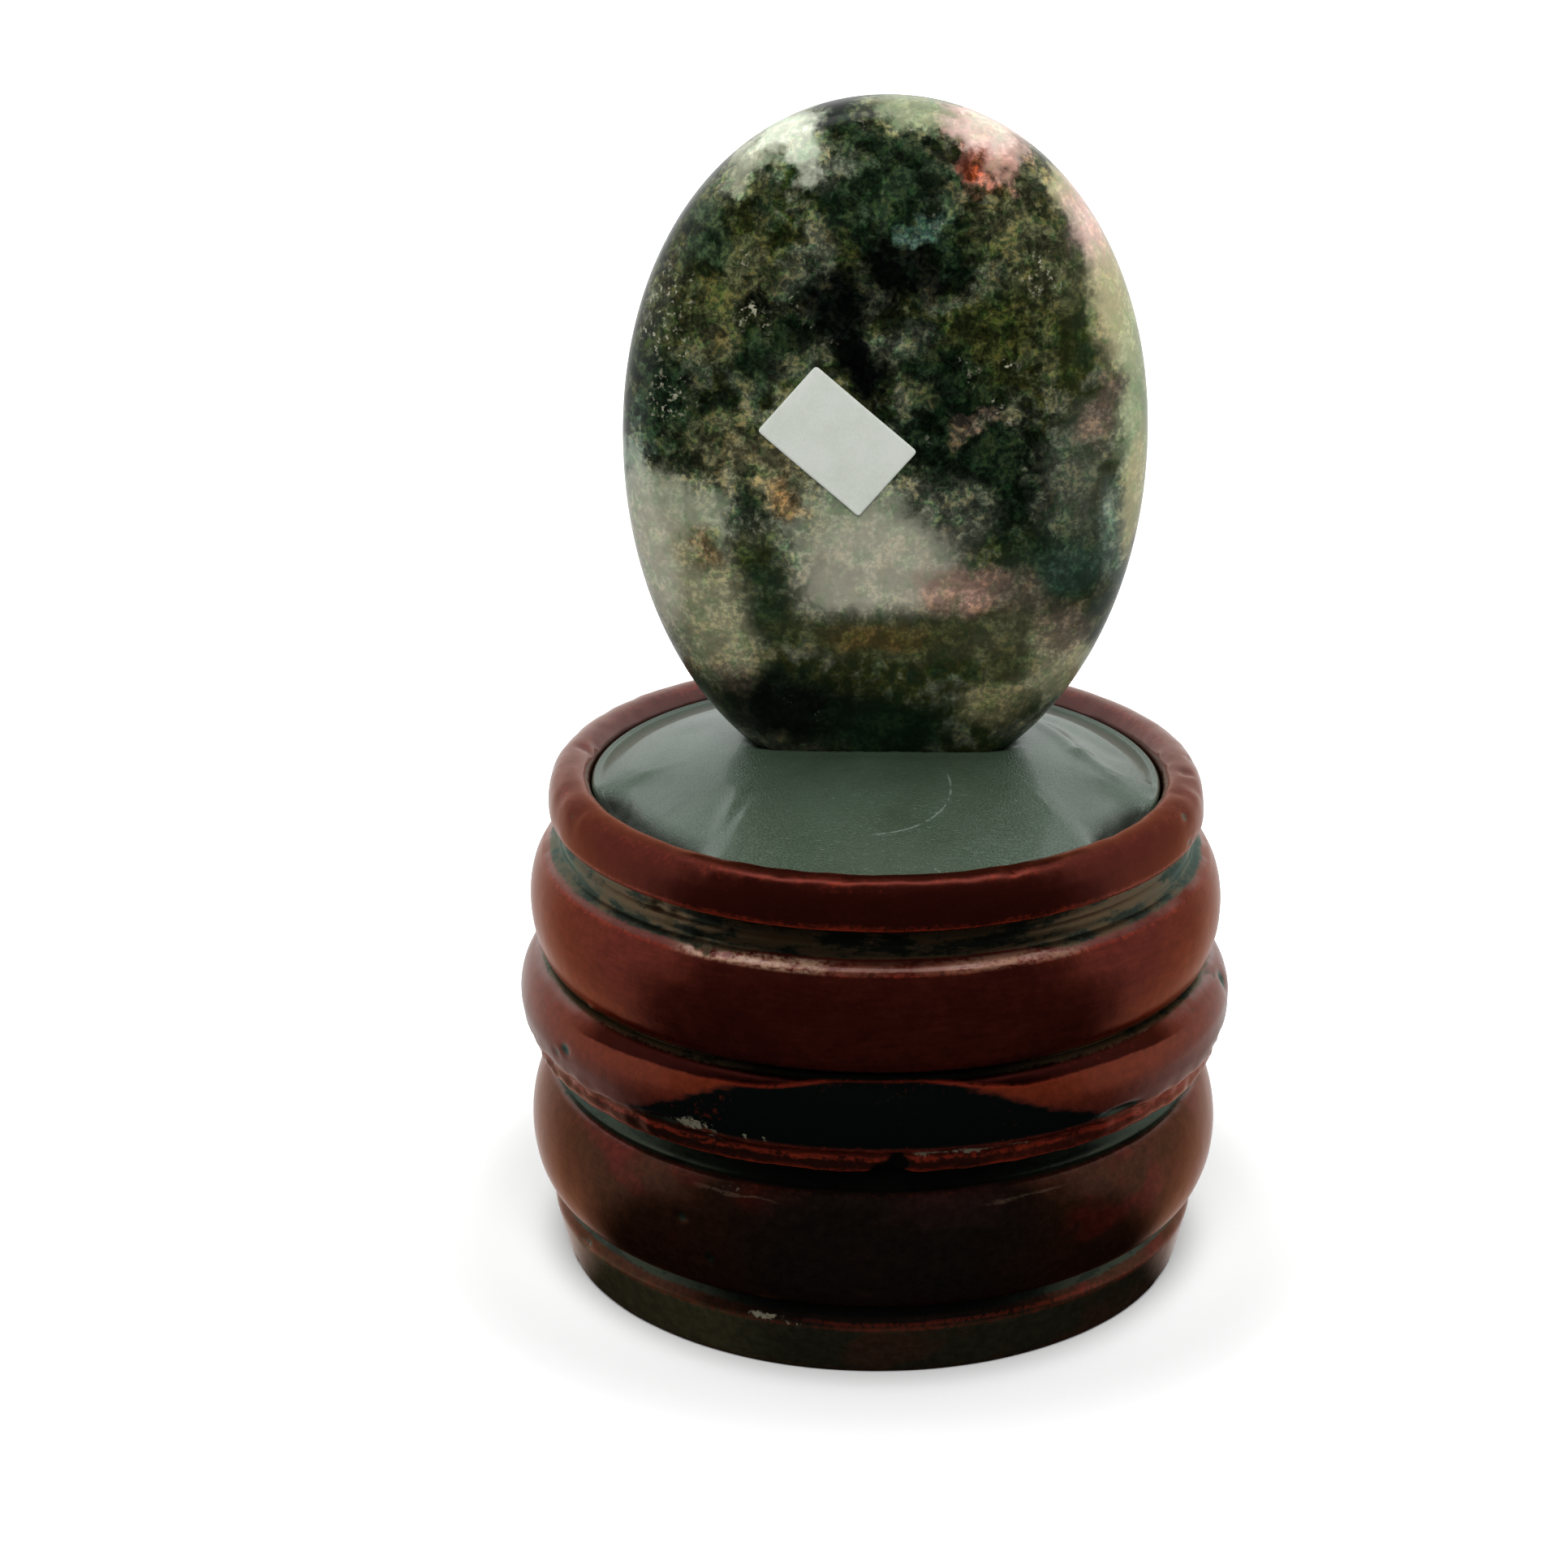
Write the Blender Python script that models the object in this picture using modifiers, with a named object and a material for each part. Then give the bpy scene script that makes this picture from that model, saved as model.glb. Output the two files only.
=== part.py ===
"""A polished oval palm stone standing upright on the padded top of a turned, lacquered wooden stand.

Metres, +Z up. The origin is the centre of the stand's foot, on the surface it stands on, and the
labelled face of the stone looks along -Y.
"""
import math

import bmesh
import bpy

# Driving dimensions: the gap kept between neighbouring pieces
CLEARANCE = 0.0003

# Driving dimensions: the turned stand, heights from the foot up
CORE_RADIUS = 0.0294
FOOT_HEIGHT = 0.0070
LOWER_BEAD_HEIGHT = 0.0122
LOWER_GROOVE_HEIGHT = 0.0026
LIP_HEIGHT = 0.0023
RING_HEIGHT = 0.0066
UPPER_BEAD_HEIGHT = 0.0107
COVE_HEIGHT = 0.0028
RIM_HEIGHT = 0.0046

# Driving dimensions: how far each turned moulding stands out from the core
FOOT_BOTTOM_PROUD = 0.0006
FOOT_TOP_PROUD = 0.0018
FOOT_SHOULDER = 0.0016
LOWER_BEAD_PROUD = 0.0038
LOWER_GROOVE_PROUD = 0.0012
LIP_PROUD = 0.0036
RING_EDGE_PROUD = 0.0042
RING_PROUD = 0.0047
RING_BELLY = 0.0022
UPPER_GROOVE_PROUD = 0.0015
UPPER_BEAD_PROUD = 0.00355
COVE_STEP_PROUD = 0.0006
RIM_PROUD = 0.0017
RIM_TOP_PROUD = 0.0008
EDGE_BREAK = 0.0003

# Driving dimensions: the recess in the stand's top and the pad that fills it
RECESS_WALL = 0.0024
RECESS_DEPTH = 0.0128
RIM_ROUND = 0.0008
PAD_EDGE_DROP = 0.0010
PAD_CROWN = 0.0046
PAD_SHOULDER = 0.0018
COVER_THICKNESS = 0.0008
HEM_WIDTH = 0.0075
BOARD_THICKNESS = 0.0020

# Driving dimensions: the felt let into the foot, flush with the wood
FELT_THICKNESS = 0.0012
FELT_INSET = 0.0021

# Driving dimensions: the palm stone, the wad of putty under it and its paper label
STONE_WIDTH = 0.0481
STONE_HEIGHT = 0.0654
STONE_THICKNESS = 0.0180
STONE_OFFSET_X = 0.0006
STONE_SINK = 0.0058
OUTLINE_POWER = 2.06
SECTION_POWER = 2.6
EGG = 0.034
PUTTY_WIDTH = 0.0150
PUTTY_DEPTH = 0.0090
PUTTY_THICKNESS = 0.0018
LABEL_WIDTH = 0.0120
LABEL_HEIGHT = 0.0080
LABEL_THICKNESS = 0.00015
LABEL_TILT = math.radians(-40.7)
LABEL_ABOVE_CENTRE = 0.0034
LABEL_LEFT_OF_CENTRE = 0.0045

# How finely round shapes are drawn
STAND_STEPS = 64
PAD_STEPS = 48
STONE_SEGMENTS = 56
STONE_RINGS = 22
PUTTY_SEGMENTS = 24
PUTTY_RINGS = 12
LABEL_COLUMNS = 9
LABEL_ROWS = 6
ARC_POINTS = 7
CORNER_POINTS = 3
MERGE_DISTANCE = 0.00001

# Heights of the turned mouldings, each the top of its section
FOOT_TOP = FOOT_HEIGHT
LOWER_BEAD_TOP = FOOT_TOP + LOWER_BEAD_HEIGHT
LOWER_GROOVE_TOP = LOWER_BEAD_TOP + LOWER_GROOVE_HEIGHT
LIP_TOP = LOWER_GROOVE_TOP + LIP_HEIGHT
RING_TOP = LIP_TOP + RING_HEIGHT
UPPER_BEAD_TOP = RING_TOP + UPPER_BEAD_HEIGHT
COVE_TOP = UPPER_BEAD_TOP + COVE_HEIGHT
STAND_TOP = COVE_TOP + RIM_HEIGHT

# The pad is built up from the floor of the recess and crowned above the rim
RECESS_RADIUS = CORE_RADIUS - RECESS_WALL
RECESS_FLOOR = STAND_TOP - RECESS_DEPTH
PAD_RADIUS = RECESS_RADIUS - CLEARANCE
PAD_BOTTOM = RECESS_FLOOR + CLEARANCE
PAD_EDGE = STAND_TOP - PAD_EDGE_DROP
PAD_TOP = PAD_EDGE + PAD_CROWN
CAVITY_BOTTOM = PAD_BOTTOM + COVER_THICKNESS
BOARD_BOTTOM = CAVITY_BOTTOM + CLEARANCE
FOAM_BOTTOM = BOARD_BOTTOM + BOARD_THICKNESS + CLEARANCE
FILL_INSET = COVER_THICKNESS + CLEARANCE

# The stone's lowest point lies in the pad
STONE_TIP = PAD_TOP - STONE_SINK
STONE_CENTRE = STONE_TIP + STONE_HEIGHT / 2


def clear_scene():
    for item in list(bpy.data.objects):
        bpy.data.objects.remove(item, do_unlink=True)


def make_collection(name):
    group = bpy.data.collections.new(name)
    bpy.context.scene.collection.children.link(group)
    return group


def make_material(name, colour, roughness, metallic=0.0):
    material = bpy.data.materials.new(name)
    material.use_nodes = True
    shader = material.node_tree.nodes["Principled BSDF"]
    shader.inputs["Base Color"].default_value = (*colour, 1.0)
    shader.inputs["Roughness"].default_value = roughness
    shader.inputs["Metallic"].default_value = metallic
    return material


def add_object(name, mesh, group, material=None):
    item = bpy.data.objects.new(name, mesh)
    group.objects.link(item)
    if material:
        mesh.materials.append(material)
    return item


def mark_as_cutter(item):
    item.hide_render = True
    item.display_type = "WIRE"
    return item


def cut(item, cutter):
    boolean = item.modifiers.new("cut_" + cutter.name, "BOOLEAN")
    boolean.operation = "DIFFERENCE"
    boolean.object = cutter


def turned(name, profile, steps, group, material=None):
    """Turns a profile of (radius, height) points, listed down its outer side, about the Z axis."""
    mesh = bpy.data.meshes.new(name)
    edges = [(i, i + 1) for i in range(len(profile) - 1)]
    mesh.from_pydata([(radius, 0.0, height) for radius, height in profile], edges, [])
    item = add_object(name, mesh, group, material)
    screw = item.modifiers.new("turn", "SCREW")
    screw.axis = "Z"
    screw.steps = steps
    screw.render_steps = steps
    screw.use_smooth_shade = True
    screw.use_merge_vertices = True
    screw.merge_threshold = MERGE_DISTANCE
    return item


def bead(top, top_radius, bottom, bottom_radius, proud_radius):
    """A half-round moulding from its top groove to its bottom groove, without the end points."""
    points = []
    for i in range(1, ARC_POINTS + 1):
        angle = math.pi * i / (ARC_POINTS + 1)
        share = (1 - math.cos(angle)) / 2
        groove = top_radius + (bottom_radius - top_radius) * share
        radius = groove + (proud_radius - groove) * math.sin(angle)
        points.append((radius, top + (bottom - top) * share))
    return points


def corner(centre, radius, start, end):
    """Points on an arc about centre, between two angles in degrees."""
    points = []
    for i in range(CORNER_POINTS + 1):
        angle = math.radians(start + (end - start) * i / CORNER_POINTS)
        points.append((centre[0] + radius * math.cos(angle), centre[1] + radius * math.sin(angle)))
    return points


def foot_profile():
    radius = CORE_RADIUS + FOOT_TOP_PROUD
    shoulder = FOOT_TOP - FOOT_SHOULDER
    return [
        (radius - EDGE_BREAK, shoulder + EDGE_BREAK),
        (radius, shoulder - EDGE_BREAK),
        (CORE_RADIUS + FOOT_BOTTOM_PROUD, EDGE_BREAK),
        (CORE_RADIUS + FOOT_BOTTOM_PROUD - EDGE_BREAK, 0.0),
    ]


def ring_profile():
    """The widest ring: round above its widest line, then a thinner lip hanging below it."""
    groove = CORE_RADIUS + UPPER_GROOVE_PROUD
    widest = CORE_RADIUS + RING_PROUD
    edge = CORE_RADIUS + RING_EDGE_PROUD
    lip = CORE_RADIUS + LIP_PROUD
    widest_height = LIP_TOP + RING_BELLY
    points = []
    for i in range(1, ARC_POINTS + 1):
        angle = math.pi / 2 * i / ARC_POINTS
        height = widest_height + (RING_HEIGHT - RING_BELLY) * math.cos(angle)
        points.append((groove + (widest - groove) * math.sin(angle), height))
    points.append(((widest + edge) / 2, LIP_TOP + RING_BELLY / 4))
    points.append((edge, LIP_TOP))
    points.append((lip, LIP_TOP - EDGE_BREAK))
    points.append((lip, LIP_TOP - LIP_HEIGHT / 2))
    points.append((lip - EDGE_BREAK, LOWER_GROOVE_TOP))
    return points


def rim_profile():
    """The rim, from the lip of the recess over its rounded top and down its flared side."""
    inner = corner((RECESS_RADIUS + RIM_ROUND, STAND_TOP - RIM_ROUND), RIM_ROUND, 180, 90)
    top_radius = CORE_RADIUS + RIM_TOP_PROUD
    outer = corner((top_radius - RIM_ROUND, STAND_TOP - RIM_ROUND), RIM_ROUND, 90, 0)
    widest = CORE_RADIUS + RIM_PROUD
    lower = [(widest, COVE_TOP + 2 * EDGE_BREAK), (widest - EDGE_BREAK, COVE_TOP)]
    return inner + outer + lower


def stand_profile():
    """The whole stand, from the middle of the pad's recess out, down the outside and in to the felt's."""
    upper_groove = CORE_RADIUS + UPPER_GROOVE_PROUD
    lower_groove = CORE_RADIUS + LOWER_GROOVE_PROUD
    foot_groove = CORE_RADIUS + FOOT_BOTTOM_PROUD
    step = CORE_RADIUS + COVE_STEP_PROUD
    step_top = UPPER_BEAD_TOP + COVE_HEIGHT / 2
    felt_recess = CORE_RADIUS - FELT_INSET
    felt_ceiling = FELT_THICKNESS + CLEARANCE

    profile = [(0.0, RECESS_FLOOR), (RECESS_RADIUS, RECESS_FLOOR)]
    profile += rim_profile()
    profile += [(CORE_RADIUS, COVE_TOP), (CORE_RADIUS, step_top), (step, step_top - EDGE_BREAK)]
    profile += [(step, UPPER_BEAD_TOP)]
    profile += bead(UPPER_BEAD_TOP, step, RING_TOP, upper_groove, CORE_RADIUS + UPPER_BEAD_PROUD)
    profile += [(upper_groove, RING_TOP)]
    profile += ring_profile()
    profile += [(lower_groove, LOWER_GROOVE_TOP), (lower_groove, LOWER_BEAD_TOP)]
    profile += bead(LOWER_BEAD_TOP, lower_groove, FOOT_TOP, foot_groove, CORE_RADIUS + LOWER_BEAD_PROUD)
    profile += [(foot_groove, FOOT_TOP)]
    profile += foot_profile()
    profile += [(felt_recess, 0.0), (felt_recess, felt_ceiling), (0.0, felt_ceiling)]
    return profile


def build_stand(group, material):
    return turned("stand_body", stand_profile(), STAND_STEPS, group, material)


def build_felt(group, material):
    radius = CORE_RADIUS - FELT_INSET - CLEARANCE
    profile = [(0.0, FELT_THICKNESS), (radius, FELT_THICKNESS), (radius, 0.0), (0.0, 0.0)]
    return turned("base_felt", profile, STAND_STEPS, group, material)


def crown(inset):
    """The pad's crowned top and rounded shoulder, drawn in by inset from the outside of the cover."""
    radius = PAD_RADIUS - inset
    flat = radius - PAD_SHOULDER
    points = []
    for i in range(ARC_POINTS + 1):
        share = i / ARC_POINTS
        points.append((flat * share, PAD_TOP - inset - PAD_CROWN * share ** 2))
    shoulder = corner((flat, PAD_EDGE - inset - PAD_SHOULDER), PAD_SHOULDER, 90, 0)
    return points + shoulder[1:]


def build_board(group, material):
    radius = PAD_RADIUS - FILL_INSET
    top = BOARD_BOTTOM + BOARD_THICKNESS
    profile = [(0.0, top), (radius, top), (radius, BOARD_BOTTOM), (0.0, BOARD_BOTTOM)]
    return turned("pad_board", profile, PAD_STEPS, group, material)


def stone_point(x, y, z):
    """Moves a point of the unit sphere, whose poles are its front and back, to the stone's surface."""
    reach = math.hypot(x, y)
    share = reach ** (2 / SECTION_POWER)
    depth = abs(z) ** (2 / SECTION_POWER)
    across = up = 0.0
    if reach > 0:
        across = math.copysign(abs(x / reach) ** (2 / OUTLINE_POWER), x) * share
        up = math.copysign(abs(y / reach) ** (2 / OUTLINE_POWER), y) * share
    return (
        STONE_OFFSET_X + STONE_WIDTH / 2 * across * (1 + EGG * up),
        -math.copysign(STONE_THICKNESS / 2 * depth, z),
        STONE_CENTRE + STONE_HEIGHT / 2 * up,
    )


def stone_front(x, z):
    """How far in front of the stone's middle plane its face lies at a point of that plane."""
    up = (z - STONE_CENTRE) / (STONE_HEIGHT / 2)
    across = (x - STONE_OFFSET_X) / (STONE_WIDTH / 2 * (1 + EGG * up))
    share = (abs(across) ** OUTLINE_POWER + abs(up) ** OUTLINE_POWER) ** (1 / OUTLINE_POWER)
    return STONE_THICKNESS / 2 * (1 - min(share, 1.0) ** SECTION_POWER) ** (1 / SECTION_POWER)


def stone_mesh():
    shape = bmesh.new()
    bmesh.ops.create_uvsphere(shape, u_segments=STONE_SEGMENTS, v_segments=STONE_RINGS, radius=1.0)
    for vertex in shape.verts:
        vertex.co = stone_point(*vertex.co)
    mesh = bpy.data.meshes.new("palm_stone")
    shape.to_mesh(mesh)
    shape.free()
    mesh.shade_smooth()
    return mesh


def putty_mesh():
    """The wad of putty before the stone is pressed into it, a flat ball round the stone's tip."""
    shape = bmesh.new()
    bmesh.ops.create_uvsphere(shape, u_segments=PUTTY_SEGMENTS, v_segments=PUTTY_RINGS, radius=0.5)
    height = 2 * (PUTTY_THICKNESS + CLEARANCE)
    for vertex in shape.verts:
        x, y, z = vertex.co
        vertex.co = (STONE_OFFSET_X + PUTTY_WIDTH * x, PUTTY_DEPTH * y, STONE_TIP + height * z)
    mesh = bpy.data.meshes.new("seat_putty")
    shape.to_mesh(mesh)
    shape.free()
    mesh.shade_smooth()
    return mesh


def grown(name, mesh, distance, group):
    """A cutter of the mesh's shape with its surface moved outwards by distance."""
    item = mark_as_cutter(add_object(name, mesh.copy(), group))
    swell = item.modifiers.new("grow", "DISPLACE")
    swell.direction = "NORMAL"
    swell.mid_level = 0.0
    swell.strength = distance
    return item


def dent(item, stone, putty, distance, cutters):
    """Presses the stone and its putty into an object, with distance left round them."""
    for label, mesh in (("stone", stone), ("putty", putty)):
        cut(item, grown(item.name + "_dent_" + label, mesh, distance, cutters))


def build_cover(stone, putty, group, cutters, material):
    """A leatherette skin of even thickness: crowned top, straight side and a hem turned under."""
    outside = crown(0.0) + [(PAD_RADIUS, PAD_BOTTOM), (0.0, PAD_BOTTOM)]
    cover = turned("pad_cover", outside, PAD_STEPS, group, material)
    dent(cover, stone, putty, CLEARANCE, cutters)

    side = PAD_RADIUS - COVER_THICKNESS
    hem = PAD_RADIUS - HEM_WIDTH
    below = PAD_BOTTOM - COVER_THICKNESS
    inside = crown(COVER_THICKNESS)
    inside += [(side, CAVITY_BOTTOM), (hem, CAVITY_BOTTOM), (hem, below), (0.0, below)]
    cavity = mark_as_cutter(turned("pad_cavity", inside, PAD_STEPS, cutters))
    dent(cavity, stone, putty, CLEARANCE + COVER_THICKNESS, cutters)
    cut(cover, cavity)
    return cover


def build_foam(stone, putty, group, cutters, material):
    radius = PAD_RADIUS - FILL_INSET
    profile = crown(FILL_INSET) + [(radius, FOAM_BOTTOM), (0.0, FOAM_BOTTOM)]
    foam = turned("pad_foam", profile, PAD_STEPS, group, material)
    dent(foam, stone, putty, 2 * CLEARANCE + COVER_THICKNESS, cutters)
    return foam


def build_putty(stone, putty, group, cutters, material):
    wad = add_object("seat_putty", putty, group, material)
    cut(wad, grown("seat_putty_dent", stone, CLEARANCE, cutters))
    return wad


def build_label(group, material):
    """A small paper sticker that follows the face of the stone."""
    shape = bmesh.new()
    bmesh.ops.create_grid(shape, x_segments=LABEL_COLUMNS, y_segments=LABEL_ROWS, size=0.5)
    centre_x = STONE_OFFSET_X - LABEL_LEFT_OF_CENTRE
    centre_z = STONE_CENTRE + LABEL_ABOVE_CENTRE
    for vertex in shape.verts:
        across = vertex.co.x * LABEL_WIDTH
        up = vertex.co.y * LABEL_HEIGHT
        x = centre_x + across * math.cos(LABEL_TILT) - up * math.sin(LABEL_TILT)
        z = centre_z + across * math.sin(LABEL_TILT) + up * math.cos(LABEL_TILT)
        vertex.co = (x, -stone_front(x, z) - CLEARANCE, z)
    mesh = bpy.data.meshes.new("stone_label")
    shape.to_mesh(mesh)
    shape.free()
    item = add_object("stone_label", mesh, group, material)
    paper = item.modifiers.new("paper", "SOLIDIFY")
    paper.thickness = LABEL_THICKNESS
    paper.offset = 1.0
    return item


def main():
    clear_scene()
    group = make_collection("palm_stone_on_stand")
    cutters = make_collection("cutters")

    lacquer = make_material("lacquered_wood", (0.13, 0.018, 0.007), 0.22)
    felt = make_material("felt", (0.03, 0.035, 0.03), 0.95)
    leatherette = make_material("leatherette", (0.09, 0.13, 0.125), 0.4)
    foam = make_material("foam", (0.6, 0.58, 0.5), 0.9)
    board = make_material("grey_board", (0.3, 0.28, 0.24), 0.85)
    putty_white = make_material("putty", (0.55, 0.6, 0.62), 0.6)
    polished = make_material("polished_stone", (0.09, 0.1, 0.075), 0.15)
    paper = make_material("paper", (0.8, 0.82, 0.78), 0.7)

    stone = stone_mesh()
    putty = putty_mesh()
    build_stand(group, lacquer)
    build_felt(group, felt)
    build_board(group, board)
    build_foam(stone, putty, group, cutters, foam)
    build_cover(stone, putty, group, cutters, leatherette)
    build_putty(stone, putty, group, cutters, putty_white)
    add_object("palm_stone", stone, group, polished)
    build_label(group, paper)


main()
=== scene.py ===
import math

import bpy
import numpy as np
from mathutils import Matrix, Vector, noise


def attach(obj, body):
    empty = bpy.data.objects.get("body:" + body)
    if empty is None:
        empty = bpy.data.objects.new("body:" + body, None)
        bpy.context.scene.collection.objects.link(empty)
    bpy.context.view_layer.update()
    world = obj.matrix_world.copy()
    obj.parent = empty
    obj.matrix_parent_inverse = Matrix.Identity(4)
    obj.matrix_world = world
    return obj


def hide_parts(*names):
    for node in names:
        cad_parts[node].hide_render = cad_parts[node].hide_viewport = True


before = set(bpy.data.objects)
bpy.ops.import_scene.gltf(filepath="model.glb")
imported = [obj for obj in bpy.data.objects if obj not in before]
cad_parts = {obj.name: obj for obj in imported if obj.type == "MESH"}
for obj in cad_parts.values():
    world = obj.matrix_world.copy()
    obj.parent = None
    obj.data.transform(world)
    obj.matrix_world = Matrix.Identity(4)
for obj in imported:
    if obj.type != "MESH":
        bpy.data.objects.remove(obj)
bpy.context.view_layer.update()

mm = 0.001
farAbove = 200.0  # millimetres, a height that stands for nothing overhead
scene = bpy.context.scene
scene.view_settings.view_transform = "Standard"

# Camera first: the photograph's angle, from a little above and straight in front
cameraSettings = {
    "place": (-8.67, -345.46, 178.22),
    "tiltDown": 20.87,
    "lens": 89.44,
    "sensor": 36.0,
    "nearest": 0.01,
    "farthest": 20,
}


def makeCamera():
    s = cameraSettings
    data = bpy.data.cameras.new("photoCamera")
    data.lens = s["lens"]
    data.sensor_width = s["sensor"]
    data.clip_start = s["nearest"]
    data.clip_end = s["farthest"]
    camera = bpy.data.objects.new("photoCamera", data)
    scene.collection.objects.link(camera)
    tilt = Matrix.Rotation(math.radians(90 - s["tiltDown"]), 4, "X")
    camera.matrix_world = Matrix.Translation(Vector(s["place"]) * mm) @ tilt
    scene.camera = camera
    print("camera set")


def mathMethod(name, swapped=False):
    # A method that adds one Math node, for a wire and another value
    def added(wire, other):
        values = (other, wire) if swapped else (wire, other)
        return wire.graph.math(name, *values)
    return added


class Wire:
    # One output of a node; arithmetic on it adds Math nodes to the same tree
    def __init__(self, graph, socket):
        self.graph = graph
        self.socket = socket

    __add__ = __radd__ = mathMethod("ADD")
    __sub__ = mathMethod("SUBTRACT")
    __rsub__ = mathMethod("SUBTRACT", True)
    __mul__ = __rmul__ = mathMethod("MULTIPLY")
    __truediv__ = mathMethod("DIVIDE")
    __or__ = mathMethod("MAXIMUM")  # the larger of two masks
    __and__ = mathMethod("MINIMUM")  # the smaller of two masks

    def __abs__(self):
        return self.graph.math("ABSOLUTE", self)

    def ramp(self, low, high, start=0.0, end=1.0):
        # Goes smoothly from start to end while the value goes from low to high
        inputs = {"Value": self, "From Min": low, "From Max": high, "To Min": start, "To Max": end}
        return self.graph.node("ShaderNodeMapRange", {"interpolation_type": "SMOOTHSTEP"}, inputs)

    def between(self, lowest, low, highest, high):
        return self.ramp(lowest, low) * self.ramp(highest, high)

    def noise(self, scale, detail=3.0, roughness=0.5, distortion=0.0, output=0):
        inputs = {"Vector": self, "Scale": scale, "Detail": detail, "Roughness": roughness,
                  "Distortion": distortion}
        return self.graph.node("ShaderNodeTexNoise", None, inputs, output)

    def cells(self, scale, feature="F1"):
        inputs = {"Vector": self, "Scale": scale}
        return self.graph.node("ShaderNodeTexVoronoi", {"feature": feature}, inputs)

    def split(self):
        made = self.graph.node("ShaderNodeSeparateXYZ", None, {0: self})
        return [Wire(self.graph, output) for output in made.socket.node.outputs]

    def length(self):
        return self.graph.vector("LENGTH", self, output="Value")


class Graph:
    # Adds nodes to one tree, of a material, the world or a Geometry Nodes group
    def __init__(self, tree):
        self.tree = tree

    def node(self, kind, settings=None, inputs=None, output=0):
        made = self.tree.nodes.new(kind)
        for name, value in (settings or {}).items():
            if name == "stops":
                elements = made.color_ramp.elements
                while len(elements) < len(value):
                    elements.new(0.5)
                for element, (position, colour) in zip(elements, value):
                    element.position = position
                    element.color = (*colour, 1.0)
            else:
                setattr(made, name, value)
        for name, value in (inputs or {}).items():
            if isinstance(value, Wire):
                self.tree.links.new(value.socket, made.inputs[name])
            else:
                made.inputs[name].default_value = value
        return Wire(self, made.outputs[output]) if len(made.outputs) else None

    def math(self, operation, *values):
        return self.node("ShaderNodeMath", {"operation": operation}, dict(enumerate(values)))

    def vector(self, operation, *values, output=0):
        settings = {"operation": operation}
        return self.node("ShaderNodeVectorMath", settings, dict(enumerate(values)), output)

    def mix(self, factor, first, second, blend="MIX"):
        first, second = (v if isinstance(v, Wire) else (*v, 1.0) for v in (first, second))
        settings = {"data_type": "RGBA", "blend_type": blend, "clamp_factor": True}
        return self.node("ShaderNodeMix", settings, {0: factor, 6: first, 7: second}, 2)

    def paint(self, colour, *coats):
        # Lays colours over one another in order, each as far as its mask goes
        for mask, coat in coats:
            colour = self.mix(mask, colour, coat)
        return colour

    def shaded(self, colour, value, amount=1.0):
        # A colour made darker or lighter by a number that goes round 1
        grey = self.node("ShaderNodeCombineColor", None, {0: value, 1: value, 2: value})
        return self.mix(amount, colour, grey, "MULTIPLY")

    def millimetres(self, centre=(0.0, 0.0, 0.0), stretch=(1.0, 1.0, 1.0)):
        # Object coordinates in millimetres from a centre, stretched along the axes
        place = self.node("ShaderNodeTexCoord", output="Object")
        moved = self.vector("SUBTRACT", place, tuple(c * mm for c in centre))
        return self.vector("MULTIPLY", moved, tuple(s / mm for s in stretch))

    def attribute(self, name):
        return self.node("ShaderNodeAttribute", {"attribute_name": name}, output="Fac")

    def bump(self, height, distance, strength=1.0, below=None):
        inputs = {"Height": height, "Distance": distance, "Strength": strength}
        if below:
            inputs["Normal"] = below
        return self.node("ShaderNodeBump", None, inputs)


def newMaterial(name, centre=(0.0, 0.0, 0.0)):
    # A material, its graph and the place on the piece in millimetres
    material = bpy.data.materials.new(name)
    material.use_nodes = True
    material.node_tree.nodes.clear()
    graph = Graph(material.node_tree)
    return material, graph, graph.millimetres(centre)


def finishMaterial(graph, inputs):
    surface = graph.node("ShaderNodeBsdfPrincipled", None, inputs)
    graph.node("ShaderNodeOutputMaterial", None, {"Surface": surface})


def addPiece(name, mesh, material=None):
    piece = bpy.data.objects.new(name, mesh)
    scene.collection.objects.link(piece)
    if material:
        mesh.materials.clear()
        mesh.materials.append(material)
    return piece


def meshFrom(name, points, faces):
    mesh = bpy.data.meshes.new(name)
    mesh.from_pydata([tuple(p) for p in points], [], [tuple(f) for f in faces])
    mesh.validate()
    mesh.update()
    mesh.shade_smooth()
    return mesh


def solidPiece(name, points, faces, material):
    # A piece from ringGrid's points in millimetres, whose faces it turns outwards
    return addPiece(name, meshFrom(name, points * mm, [f[::-1] for f in faces]), material)


def addMask(mesh, name, values):
    mesh.attributes.new(name, "FLOAT", "POINT").data.foreach_set("value", values.astype(np.float32))


def bell(value, middle, half):
    return np.exp(-((value - middle) / half) ** 2)


def fieldOf(points, scale, seed, octaves=1):
    # Smooth noise from -1 to 1 at each point (millimetres), the same every run
    shift = Vector((17.3 * seed, -9.1 * seed, 5.7 * seed))
    values = np.empty(len(points))
    for i, point in enumerate(points):
        spot = Vector(point) * scale + shift
        values[i] = noise.fractal(spot, 1.0, 2.0, octaves) if octaves > 1 else noise.noise(spot)
    return values


def atHeight(flat, height):
    # Flat points at one height
    return np.column_stack([flat, np.full(len(flat), height)])


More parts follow.
